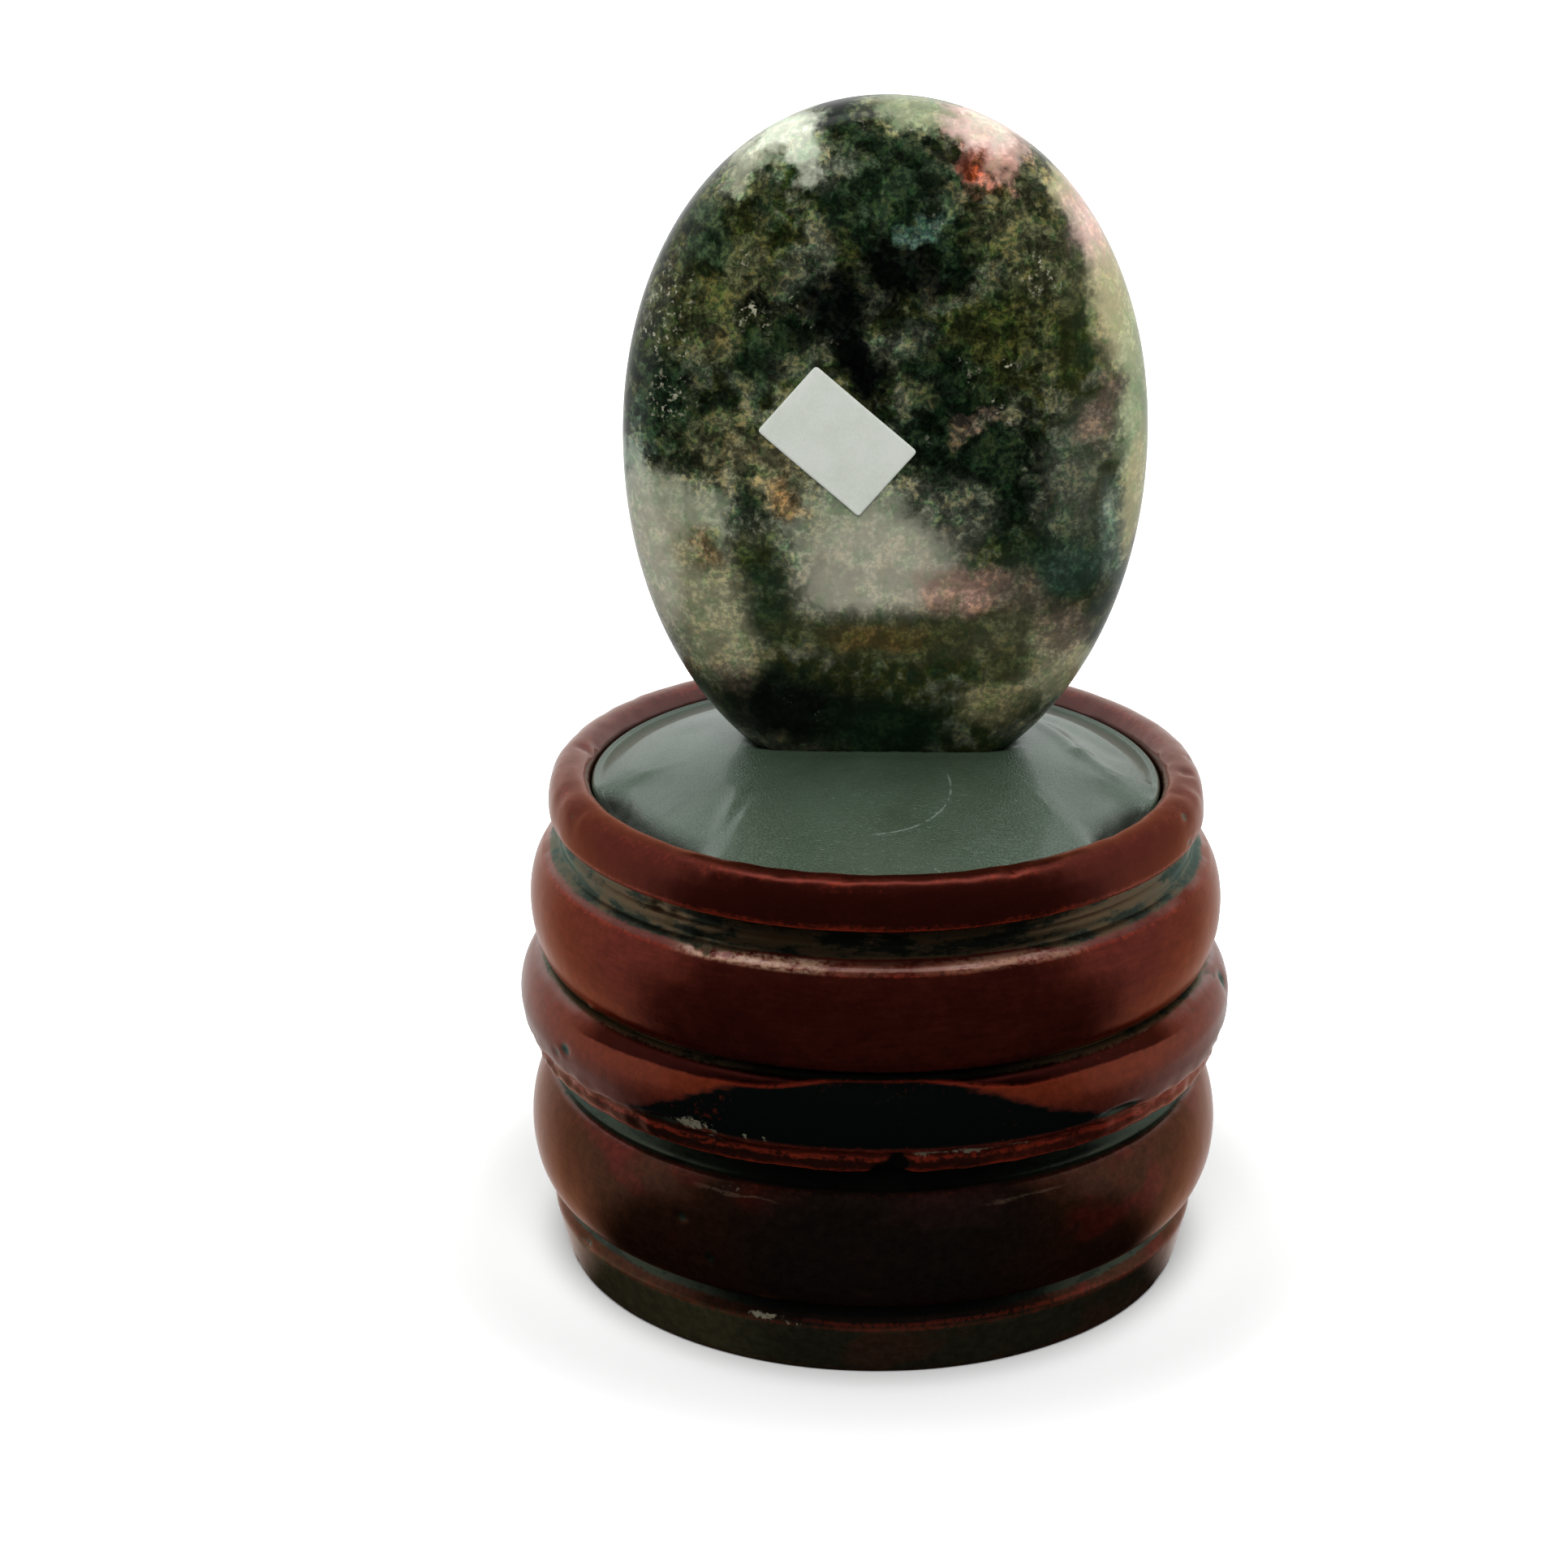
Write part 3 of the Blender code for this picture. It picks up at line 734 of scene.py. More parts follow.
    # A painted highlight along the foot's edge at the front
    footLine = abs(height - c["footLine"] + clouds * 0.6).ramp(0.26, 0.08)
    footLine = footLine * abs(turn - 15.0).ramp(34.0, 22.0) * speckle.ramp(0.36, 0.52)
    wornAndHighlit = wornAndHighlit * (1 - isLip * 0.6) | line * 0.36 | lipLine * 0.6 | footLine * 0.32
    lowerLip = isLip * (height + specks * 0.6).ramp(23.5, 22.8)
    lowerLip = lowerLip * (turn.ramp(26.0, 10.0) * notBack * 0.55 + 0.25)
    chippedAndSheen = (graph.attribute("chip") + (place.noise(2.0, 5.0, 0.75) - 0.5) * 3.0).ramp(0.62, 0.98)
    colour = graph.paint(
        colour,
        (shaded * 0.92, c["shade"]),
        (band * 0.9, graph.shaded(bandTone, mottle, 0.6)),
        (lens, c["lensPaintedBlack"]),
        (height.ramp(*c["rimBand"]) * 0.7, c["rim"]),
        (isLip * turn.ramp(-12.0, -26.0) * notBack * 0.8, c["lipDeep"]),
        (lowerLip, c["lipDeep"]),
        (wornAndHighlit, c["edge"]),
        (onShoulder * 0.78 | lowLine * 0.3, c["paintedHighlight"]),
        (chippedAndSheen, c["chip"]))

    # Dirt in the grooves, with painted shade at the front of the lower grooves and a painted sheen in
    # the groove above the ring
    stained = (graph.attribute("groove") + specks * 0.6 + clouds * 0.6).ramp(0.25, 0.62)
    patchy = graph.millimetres(stretch=(1, 1, 4)).noise(0.22, 4.0, 0.6)
    # Painted sheen: a lighter olive strip in the groove above the ring, away from the front
    onStep = abs(height - c["stepLine"]).ramp(0.9, 0.4) * apart.ramp(12.0, 24.0)
    olive = (patchy + (height - 40) * 0.03).ramp(0.44, 0.62) | onStep * patchy.ramp(0.36, 0.48)
    grime = graph.paint(
        graph.mix(olive, c["stain"], c["oliveStainAndSheen"]),
        ((patchy + specks * 0.3).ramp(0.50, 0.40) * 0.6, c["darkStainAndShade"]),
        # Painted shade: the grooves from the ring down darker at the front
        (apart.ramp(34.0, 16.0) * height.ramp(32.0, 31.0) * 0.8, c["darkStainAndShade"]),
        (chippedAndSheen, c["chip"]))
    relief = graph.bump(speckle, 0.00002, 0.3, graph.bump(place.noise(0.45, 2.0, 0.5), 0.00010, 0.4))
    facing = graph.node("ShaderNodeNewGeometry", output="Normal").split()[2]
    bare = (1 - (chippedAndSheen | wornAndHighlit * 0.75 | onShoulder * 0.6)) * (1 - isLow * glimpse * 0.15)
    upward = facing.ramp(0.66, 0.94) * cloudy.ramp(0.3, 0.6)
    gloss = upward * height.ramp(43.0, 42.0, 0.0, 0.9) + apart.ramp(60.0, 86.0) * 0.34
    gloss = gloss + height.ramp(44.5, 46.5) * apart.ramp(70.0, 110.0) * 0.5
    mirrored = bare * (c["metallic"] + shaded * 0.17)
    lacquer = graph.node("ShaderNodeBsdfPrincipled", None, {
        "Base Color": colour,
        "Metallic": mirrored * (1 - lens - band * 0.6 - isFoot * 0.3 - isLip * 0.1),
        "Roughness": 0.22 + cloudy * 0.12 - lens * 0.14 + chippedAndSheen * 0.3,
        "Specular IOR Level": 0.22,
        "Specular Tint": (*c["glow"], 1.0),
        "Coat Weight": (1 - shaded - lens * 0.8) * (gloss + 0.05),
        "Coat Roughness": 0.08,
        "Normal": relief,
    })
    dirty = graph.node("ShaderNodeBsdfPrincipled", None, {
        "Base Color": grime,
        "Metallic": 0.85 - chippedAndSheen * 0.85,
        "Roughness": 0.24 + speckle * 0.2,
        "Specular Tint": (*c["grimeGlow"], 1.0),
        "Normal": relief,
    })
    surface = graph.node("ShaderNodeMixShader", None, {0: stained, 1: lacquer, 2: dirty})
    graph.node("ShaderNodeOutputMaterial", None, {"Surface": surface})
    return material


# The felt let into the foot
feltSettings = {
    "radius": 27.0,
    "bottom": 0.0,
    "top": 1.2,
    "steps": 160,
    "rings": 40,
    "fuzz": 0.05,
    "fray": 0.003,
    "colour": (0.022, 0.034, 0.026),
    "fibre": (0.05, 0.07, 0.055),
}


def circle(radius, steps):
    turn = np.linspace(0, 2 * math.pi, steps, endpoint=False)
    return np.column_stack([radius * np.cos(turn), radius * np.sin(turn)])


def makeFelt(material):
    s = feltSettings
    radii = np.linspace(s["radius"] / s["rings"], s["radius"], s["rings"])
    rings = [atHeight(circle(radius, s["steps"]), s["top"]) for radius in radii]
    rings += [atHeight(circle(radius, s["steps"]), s["bottom"]) for radius in radii[::-1]]
    points, faces = ringGrid(rings)
    inward = np.where(points[:, 2] > s["top"] / 2, -1, 1)
    points[:, 2] += inward * s["fuzz"] * (1 + fieldOf(points, 1.7, 3))
    reach = np.hypot(points[:, 0], points[:, 1])
    frayed = np.where(reach > s["radius"] - 0.1, s["fray"] * (1 + fieldOf(points, 0.9, 5)), 0)
    points[:, :2] *= 1 - frayed[:, None]
    felt = solidPiece("baseFeltPad", points, faces, material)
    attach(felt, "stand")
    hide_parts("base_felt")
    print("felt laid")


def makeFeltMaterial():
    s = feltSettings
    material, graph, place = newMaterial("greenFelt")
    fibre = place.noise(3.0, 5.0, 0.7, 1.5)
    clump = place.noise(0.5, 3.0)
    finishMaterial(graph, {
        "Base Color": graph.mix((fibre * 0.7 + clump * 0.3).ramp(0.35, 0.7), s["colour"], s["fibre"]),
        "Roughness": 0.96,
        "Sheen Weight": 0.3,
        "Normal": graph.bump(fibre, 0.0002, 0.8),
    })
    return material


# The stone's shape, and where its lower end lies in the pad
stoneSettings = {
    "width": 48.1,
    "height": 65.4,
    "thickness": 18.0,
    "centre": (0.6, 0.0, 79.3),
    "outlinePower": 2.06,
    "sectionPower": 2.6,
    "egg": 0.034,
    "segments": 256,
    "rings": 130,
}


def fuller(value, power):
    # A sine or cosine bent so that the oval it draws is fuller
    return np.sign(value) * np.abs(value) ** (2 / power)


def stoneRing(turn, tilt):
    # Points of the stone at angles round its middle and from its front pole to its back pole
    s = stoneSettings
    reach = fuller(np.sin(tilt), s["sectionPower"])
    across = fuller(np.cos(turn), s["outlinePower"]) * reach
    up = fuller(np.sin(turn), s["outlinePower"]) * reach
    x = s["centre"][0] + s["width"] / 2 * across * (1 + s["egg"] * up)
    y = -s["thickness"] / 2 * fuller(np.cos(tilt), s["sectionPower"]) * np.ones_like(x)
    return np.column_stack([x, y, s["centre"][2] + s["height"] / 2 * up])


def stoneShell(segments, rings):
    turn = np.linspace(0, 2 * math.pi, segments, endpoint=False)
    return ringGrid([stoneRing(turn, tilt) for tilt in np.linspace(0, math.pi, rings + 2)[1:-1]])


def stoneUnderside(x, y):
    # Height of the stone's lower surface over points of the pad, far above where there is none
    s = stoneSettings
    n = s["outlinePower"]
    section = 1 - np.abs(y / (s["thickness"] / 2)) ** s["sectionPower"]
    share = np.clip(section, 0, 1) ** (1 / s["sectionPower"])
    up = -0.8 * np.ones_like(x)
    for _ in range(6):
        across = (x - s["centre"][0]) / (s["width"] / 2 * (1 + s["egg"] * up))
        left = share ** n - np.abs(across) ** n
        up = -np.clip(left, 0, 1) ** (1 / n)
    return np.where(left > 0, s["centre"][2] + s["height"] / 2 * up, farAbove)


def stoneFront(x, z):
    # How far in front of its middle plane the stone's face lies
    s = stoneSettings
    n = s["outlinePower"]
    up = (z - s["centre"][2]) / (s["height"] / 2)
    across = (x - s["centre"][0]) / (s["width"] / 2 * (1 + s["egg"] * up))
    share = np.minimum((np.abs(across) ** n + np.abs(up) ** n) ** (1 / n), 1)
    return s["thickness"] / 2 * (1 - share ** s["sectionPower"]) ** (1 / s["sectionPower"])


def makeStone(material):
    s = stoneSettings
    points, faces = stoneShell(s["segments"], s["rings"])
    for pole, side in ((-2, -1), (-1, 1)):
        points[pole] = (s["centre"][0], side * s["thickness"] / 2, s["centre"][2])
    stone = solidPiece("polishedStone", points, faces, material)
    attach(stone, "stone")
    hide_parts("palm_stone")
    print("stone shaped:", len(faces), "faces")


# The stone's minerals, and the colours of the light painted along its edges and top shoulder
mineralColours = {
    "black": (0.0028, 0.0040, 0.0032),
    "greenBlack": (0.0065, 0.0155, 0.0072),
    "darkGreen": (0.017, 0.034, 0.017),
    "teal": (0.056, 0.098, 0.082),
    "olive": (0.034, 0.040, 0.010),
    "brown": (0.050, 0.057, 0.023),
    "rust": (0.150, 0.075, 0.018),
    "grey": (0.090, 0.102, 0.072),
    "hazel": (0.080, 0.082, 0.042),
    "sand": (0.300, 0.290, 0.180),
    "paleBrown": (0.215, 0.200, 0.108),
    "mauve": (0.175, 0.132, 0.100),
    "cloud": (0.325, 0.345, 0.245),
    "brightCloud": (0.490, 0.470, 0.365),
    "white": (0.820, 0.870, 0.700),
    "cream": (0.580, 0.530, 0.310),
    "crystal": (0.660, 0.640, 0.470),
    # The next two colours are for painted light
    "yellowGreenLight": (0.470, 0.530, 0.320),
    "edgeLightMint": (0.360, 0.470, 0.390),
    "pink": (0.365, 0.225, 0.175),
    "rose": (0.680, 0.370, 0.300),
    "palePink": (0.900, 0.630, 0.560),
    "coral": (0.450, 0.190, 0.150),
    "orangeRed": (0.240, 0.048, 0.016),
    "rustTint": (1.50, 1.06, 0.62),
    "greenTint": (0.62, 0.98, 0.72),
}

# Patches in millimetres from the stone's middle, seen from the labelled side and painted in this order.
# Each has across, up, half width, half height, turn in degrees, mineral, strength, and the depth of its
# middle and its half depth.
mineralPatches = {
    "leftMottle": (-14.3, 20.5, 6.0, 7.0, 0, "olive", 0.8, -9, 9),
    "leftShade": (-16.4, 21.0, 3.0, 2.8, 0, "darkGreen", 0.85, -9, 7),
    "leftTan": (-12.0, 18.4, 2.6, 2.4, 0, "hazel", 0.8, -9, 7),
    "leftLower": (-16.6, 14.5, 4.6, 4.2, 0, "brown", 0.8, -9, 9),
    "upperMiddle": (-1.1, 25.0, 6.0, 4.0, 0, "darkGreen", 0.85, -9, 9),
    "upperGrey": (-5.0, 27.3, 3.0, 1.6, 15, "grey", 0.8, -9, 6),
    "rightMottle": (14.0, 21.0, 5.4, 7.0, 10, "hazel", 0.85, -9, 9),
    "rightLow": (11.0, 12.0, 7.0, 5.0, 0, "olive", 0.78, -9, 9),
    "greyStreak": (-7.6, 18.6, 1.8, 4.6, -28, "grey", 0.75, -9, 8),
    "rightGrey": (8.6, 18.2, 2.0, 1.6, 0, "grey", 0.5, -9, 5),
    "heart": (-4.6, 15.0, 4.2, 3.9, 0, "black", 1.0, -9, 8),
    "heartTail": (-2.2, 10.6, 2.5, 3.4, 20, "black", 1.0, -9, 8),
    "heartUpper": (1.5, 19.0, 5.4, 3.0, -18, "black", 0.97, -9, 8),
    "heartRight": (6.4, 20.8, 1.6, 3.7, -10, "greenBlack", 0.95, -9, 8),
    "blackLeft": (-11.2, 15.4, 2.2, 1.4, 0, "black", 0.9, -9, 6),
    "tealSpot": (3.1, 22.1, 2.2, 1.4, -10, "teal", 1.0, -9, 6),
    "greyRound": (1.9, 12.3, 2.5, 2.2, 0, "grey", 0.85, -9, 6),
    "darkBelowRound": (4.6, 9.4, 4.4, 2.4, -30, "greenBlack", 0.9, -9, 8),
    "greyOverLabel": (-8.4, 10.2, 3.0, 2.0, 0, "grey", 0.45, -9, 7),
    "overLabelDark": (-8.8, 12.6, 2.6, 1.6, 0, "greenBlack", 0.85, -9, 7),
    "leftMiddleDark": (-12.4, 10.4, 2.6, 3.2, 0, "darkGreen", 0.85, -9, 8),
    "leftSpeckle": (-21.0, 7.6, 2.8, 4.0, 0, "darkGreen", 0.85, -6, 9),
    "topDark": (-0.4, 29.9, 6.0, 2.0, 0, "greenBlack", 0.9, -7, 6),
    "topBandDark": (-4.8, 31.6, 3.6, 1.3, 5, "greenBlack", 0.9, -2.0, 4.0),
    # A painted highlight along the top shoulder
    "topBandHighlight": (2.3, 31.9, 4.6, 1.4, -4, "yellowGreenLight", 0.6, -2.0, 5.0),
    "topRightDark": (3.0, 26.2, 3.4, 3.0, 0, "greenBlack", 0.85, -9, 7),
    "topLeftPale": (-12.4, 28.8, 4.4, 2.4, 30, "cloud", 0.97, -6, 8),
    "topLeftLow": (-12.6, 27.0, 3.2, 1.8, 30, "cloud", 0.85, -9, 8),
    "topLeftGrey": (-7.3, 29.2, 2.2, 2.2, 0, "cloud", 0.85, -9, 6),
    "topLeftWhite": (-10.2, 30.6, 4.0, 2.1, 24, "white", 1.0, -5, 8),
    "topLeftStreak": (-8.6, 29.3, 2.9, 1.4, -58, "white", 0.72, -6, 8),
    "topRightPink": (8.8, 30.3, 3.8, 2.7, -32, "palePink", 1.0, -3, 8),
    "topRightWhite": (9.8, 30.8, 2.8, 1.6, -30, "white", 0.55, -6, 7),
    "coralPatch": (7.6, 27.5, 1.8, 2.2, 36, "coral", 1.0, -9, 6),
    "coralHeart": (7.1, 27.7, 1.0, 1.7, 40, "orangeRed", 1.0, -9, 5),
    "coralPink": (10.3, 27.5, 1.6, 2.3, 30, "rose", 0.9, -9, 6),
    "underCoral": (9.6, 23.0, 2.8, 1.6, 0, "hazel", 0.9, -9, 6),
    "rightShoulder": (13.9, 25.9, 2.7, 2.1, 0, "hazel", 0.9, -8, 6),
    "edgeCreamUpper": (16.4, 25.4, 2.4, 2.6, 45, "cream", 0.8, -1, 6),
    "edgePink": (19.4, 21.0, 2.4, 6.1, 25, "palePink", 0.97, -1.5, 8),
    "edgeCream": (20.9, 15.0, 2.9, 5.6, 12, "cream", 0.95, -4, 7),
    # Painted light along the right edge
    "rightEdgeLightGreen": (22.8, 5.4, 2.2, 10.5, 3, "yellowGreenLight", 0.75, -3, 8),
    "rightPinkSpot": (20.2, 7.2, 1.5, 2.4, 0, "mauve", 0.8, -9, 6),
    "leftDarkBand": (-19.6, 3.6, 4.4, 3.0, 0, "darkGreen", 0.85, -9, 9),
    "leftBrown": (-15.0, 3.2, 4.2, 3.2, 10, "hazel", 0.9, -9, 9),
    "middleBrown": (-11.4, 0.6, 4.4, 3.0, 0, "paleBrown", 0.75, -9, 9),
    "rightDark": (6.8, 3.4, 7.6, 4.8, -8, "greenBlack", 0.97, -9, 9),
    "rightDarkLower": (13.2, -1.6, 4.4, 5.0, 0, "greenBlack", 0.95, -9, 9),
    "rightPinkGlints": (8.4, 4.6, 2.6, 1.0, 20, "mauve", 0.6, -9, 4),
    "rightMauve": (16.4, 0.4, 2.9, 5.6, -8, "grey", 0.92, -9, 7),
    "rightGreyLow": (16.8, -4.4, 2.6, 3.4, 0, "grey", 0.9, -9, 7),
    "rightMauveTop": (19.0, 4.8, 1.9, 2.6, 0, "mauve", 0.85, -9, 6),
    # Painted light along the right edge, in this patch and the next
    "rightEdgeLight": (20.9, -7.0, 1.5, 6.0, 8, "edgeLightMint", 0.4, -8, 8),
    "rightEdgeLightYellow": (22.8, -3.2, 1.3, 6.4, -4, "cream", 0.8, -5, 6),
    "lowRightTeal": (15.4, -9.2, 6.0, 4.2, 20, "darkGreen", 0.95, -9, 9),
    "lowRightSheen": (17.5, -9.0, 3.8, 2.4, 10, "teal", 0.35, -9, 9),
    "cloudLeft": (-18.8, -4.4, 5.0, 3.8, 10, "cloud", 0.95, -8, 9),
    "cloudLeftLow": (-15.0, -5.2, 3.2, 2.6, 0, "cloud", 0.7, -9, 8),
    "paleLeft": (-18.0, -10.8, 4.6, 5.6, 10, "sand", 0.92, -8, 9),
    "paleLeftInner": (-15.0, -12.6, 3.0, 3.6, 0, "sand", 0.8, -9, 8),
    "rustLeft": (-16.2, -7.2, 1.7, 2.0, 0, "rust", 0.7, -9, 5),
    "greenCloud": (-7.0, -3.8, 5.0, 4.0, 0, "cloud", 0.76, -9, 8),
    "rustNearLabel": (-9.4, -1.6, 1.9, 2.0, 0, "rust", 0.75, -9, 5),
    "speckleLeft": (-13.0, -2.4, 1.4, 3.2, 0, "darkGreen", 0.75, -9, 6),
    "cloudUpper": (0.2, -3.6, 5.4, 3.4, 0, "cloud", 0.75, -9, 8),
    "greyRight": (5.6, -3.0, 4.4, 3.6, -10, "grey", 0.9, -9, 8),
    "cloudMain": (-0.7, -9.2, 7.4, 5.2, 4, "brightCloud", 0.85, -9, 9),
    "mauveLow": (11.4, -11.4, 3.6, 2.5, -10, "mauve", 0.6, -9, 8),
    "pinkPatch": (6.0, -11.0, 3.4, 2.6, -10, "pink", 0.85, -9, 6),
    "pinkPatchRight": (8.4, -10.2, 2.2, 1.8, 0, "pink", 0.5, -9, 6),
    "darkStreak": (-10.9, -10.6, 2.5, 5.2, 6, "darkGreen", 0.66, -9, 7),
    "darkLeftMiddle": (-12.2, -6.2, 1.7, 2.0, 0, "olive", 0.8, -9, 7),
    "oliveBand": (2.2, -15.1, 12.6, 2.6, -2, "brown", 0.95, -9, 9),
    "oliveRight": (11.6, -15.8, 5.2, 3.0, 10, "hazel", 0.9, -9, 9),
    "rustBand": (-0.8, -15.2, 4.6, 1.4, 0, "rust", 0.36, -9, 5),
    "brownLow": (-15.2, -17.2, 3.8, 4.3, 20, "sand", 0.9, -8, 9),
    "mauveLowLeft": (-13.8, -20.2, 2.4, 1.6, -40, "mauve", 0.6, -8, 8),
    "blackLow": (-8.2, -23.2, 8.2, 4.4, -4, "black", 1.0, -9, 12),
    "blackLowRight": (0.8, -25.0, 6.6, 3.8, 0, "greenBlack", 1.0, -9, 12),
    "greyLow": (10.6, -22.2, 3.4, 2.6, 0, "paleBrown", 0.8, -9, 9),
    "paleLowRightEdge": (17.2, -19.4, 2.2, 4.8, 35, "cream", 0.95, -3, 9),
    "paleLowRight": (15.8, -19.6, 3.4, 4.3, 30, "sand", 1.0, -8, 9),
    "lowRightBrown": (11.8, -18.3, 2.8, 2.0, 10, "brown", 0.8, -9, 6),
    "leftDarkUpper": (-10.4, 24.4, 2.4, 2.0, 0, "greenBlack", 0.9, -9, 6),
    "leftEdgeDark": (-17.6, 24.0, 2.6, 3.0, -50, "darkGreen", 0.9, -7, 6),
    "leftEdgeCream": (-20.0, 20.2, 0.9, 1.5, 0, "paleBrown", 0.9, -7, 5),
    "leftBlackSpeckle": (-19.6, 7.6, 3.4, 3.8, 0, "greenBlack", 0.85, -9, 6),
    "leftTanLow": (-16.2, 12.0, 2.6, 2.0, 0, "hazel", 0.75, -9, 6),
    # Painted light along the left edge, in this patch and the next
    "leftEdgeLight": (-22.6, -3.0, 2.0, 8.0, 0, "edgeLightMint", 0.9, 0, 6),
    "leftEdgeLightLow": (-21.4, -8.0, 2.6, 7.5, 10, "brightCloud", 0.95, -3, 8),
    "rightBrownPink": (16.6, -15.4, 2.6, 3.0, 30, "mauve", 0.7, -7, 6),
    "backPale": (-7.0, 8.0, 9.0, 6.0, 30, "cloud", 0.8, 9, 8),
    "backPink": (9.0, -4.0, 6.0, 4.0, -20, "pink", 0.7, 9, 7),
    "backCoral": (11.0, -5.0, 2.2, 1.4, -20, "coral", 0.8, 9, 6),
    "backDark": (2.0, 19.0, 10.0, 5.0, 10, "greenBlack", 0.9, 9, 9),
    "backDarkLow": (-6.0, -16.0, 8.0, 6.0, -15, "greenBlack", 0.85, 9, 9),
    "backWhite": (6.0, -15.0, 5.0, 4.0, 15, "brightCloud", 0.7, 9, 8),
}

# Small bright crystals on the labelled face: across, up, half size
crystalSpots = {
    "left": (-11.5, 14.6, 0.8),
    "leftEdge": (-19.6, 16.4, 0.9),
    "leftEdgeLow": (-20.0, 12.8, 0.9),
    "leftEdgeLowest": (-19.0, 11.0, 0.6),
    "leftSpeckle": (-19.6, 6.8, 1.0),
    "rightUpper": (13.8, 18.0, 0.8),
    "rightMiddle": (11.4, 10.6, 0.45),
    "topMiddle": (2.8, 31.0, 0.35),
    "lowLeft": (-16.4, -7.5, 0.3),
    "rustSide": (10.2, 5.6, 0.5),
}


def makeStoneMaterial():
    c = mineralColours
    material, graph, place = newMaterial("mottledStone", stoneSettings["centre"])
    across, deep, up = place.split()
    quiet = up.ramp(0.0, -12.0) | across.ramp(13.0, 18.0)
    steady = 1 - quiet * 0.5
    front = deep.ramp(0.0, -4.0)

    def stirred(*amounts):
        # Moves the pattern's place by noise of several sizes, so that patches end raggedly
        moved = place
        for scale, amount in amounts:
            drift = graph.vector("SUBTRACT", place.noise(scale, 2.0, output="Color"), (0.5, 0.5, 0.5))
            moved = graph.vector("MULTIPLY_ADD", drift, steady * amount, moved)
        return moved

    ragged = stirred((0.16, 4.5), (0.45, 3.5), (1.2, 1.7), (3.0, 0.6))
    ground = place.noise(0.13, 5.0, 0.62) * 0.6 + ragged.noise(0.5, 4.0, 0.6) * 0.4
    colour = graph.node("ShaderNodeValToRGB", {"stops": [
        (0.30, c["greenBlack"]), (0.42, c["darkGreen"]), (0.50, c["olive"]), (0.57, c["grey"]),
        (0.66, c["paleBrown"]), (0.74, c["cloud"])]}, {"Fac": ground})
    for across, up, wide, high, turn, mineral, strength, deep, halfDeep in mineralPatches.values():
        spot = graph.vector("SUBTRACT", ragged, (across, deep, up))
        if turn:
            inputs = {"Vector": spot, "Angle": math.radians(turn)}
            spot = graph.node("ShaderNodeVectorRotate", {"rotation_type": "Y_AXIS"}, inputs)
        spot = graph.vector("MULTIPLY", spot, (1 / wide, 1 / halfDeep, 1 / high))
        colour = graph.mix(spot.length().ramp(1.42, 0.50, 0.0, strength), colour, c[mineral])

    # Grains within the patches: dark, rusty and green crystals run together, calmer in the clouds
    lightness = graph.vector("DOT_PRODUCT", colour, (0.3, 0.55, 0.15), output="Value")
    calm = lightness.ramp(0.10, 0.34) | quiet * 0.6
    broken = stirred((0.45, 0.9), (1.2, 0.45), (3.0, 0.2))
    grit = broken.noise(2.0, 3.0, 0.65)
    grains = ragged.noise(0.32, 6.0, 0.72)
    shade = broken.noise(0.52, 4.0, 0.60).ramp(0.42, 0.59, 0.42, 1.62)
    shade = shade * grit.ramp(0.42, 0.60, 0.54, 1.48) * grains.ramp(0.28, 0.74, 0.72, 1.30)
    colour = graph.shaded(colour, shade + (1 - shade) * calm * 0.8)
    rusty = (broken.noise(0.5, 3.0, 0.6) * 0.6 + grit * 0.4).ramp(0.50, 0.62) * (1 - calm * 0.8) * 0.55
    greener = ragged.noise(0.7, 3.0, 0.6).ramp(0.50, 0.62) * (1 - calm * 0.6) * 0.8
    for mask, tint in ((rusty, c["rustTint"]), (greener, c["greenTint"])):
        colour = graph.mix(mask, colour, graph.mix(1.0, colour, tint, "MULTIPLY"))
    clusters = place.noise(0.22, 2.0).ramp(0.63, 0.73) * (1 - calm) * 0.6
    for across, up, size in crystalSpots.values():
        spot = graph.vector("SUBTRACT", graph.vector("MULTIPLY", ragged, (1, 0, 1)), (across, 0, up))
        clusters = clusters | spot.length().ramp(size * 3.0, size * 0.8) * front
    flakes = place.noise(2.3, 2.0, 0.5).ramp(0.54, 0.66) * place.noise(0.9, 2.0, 0.5).ramp(0.42, 0.58)
    colour = graph.mix(clusters * flakes * 0.62, colour, c["crystal"])
    pits = place.noise(1.6, 3.0, 0.6).ramp(0.68, 0.74)
    finishMaterial(graph, {
        "Base Color": colour,
        "Roughness": 0.20 + pits * 0.25 + grains * 0.06,
        "Specular IOR Level": 0.15,
        "Coat Weight": 0.07,
        "Coat Roughness": 0.04,
        "Normal": graph.bump(pits, 0.00006, -0.5),
    })
    return material


# The label: a bare paper sticker that follows the stone's face
labelSettings = {
    "width": 12.0,
    "height": 8.0,
    "thickness": 0.13,
    "gap": 0.03,
    "centre": (-3.9, 82.7),
    "tilt": -40.7,
    "corner": 0.35,
    "columns": 72,
    "rows": 48,
    "lift": 0.12,
    "wave": 0.02,
    "rimThin": 0.04,
    "rimFrom": 0.97,
    "cornerFrom": 1.55,
    "paper": (0.78, 0.82, 0.755),
    "shade": (0.70, 0.74, 0.665),
}


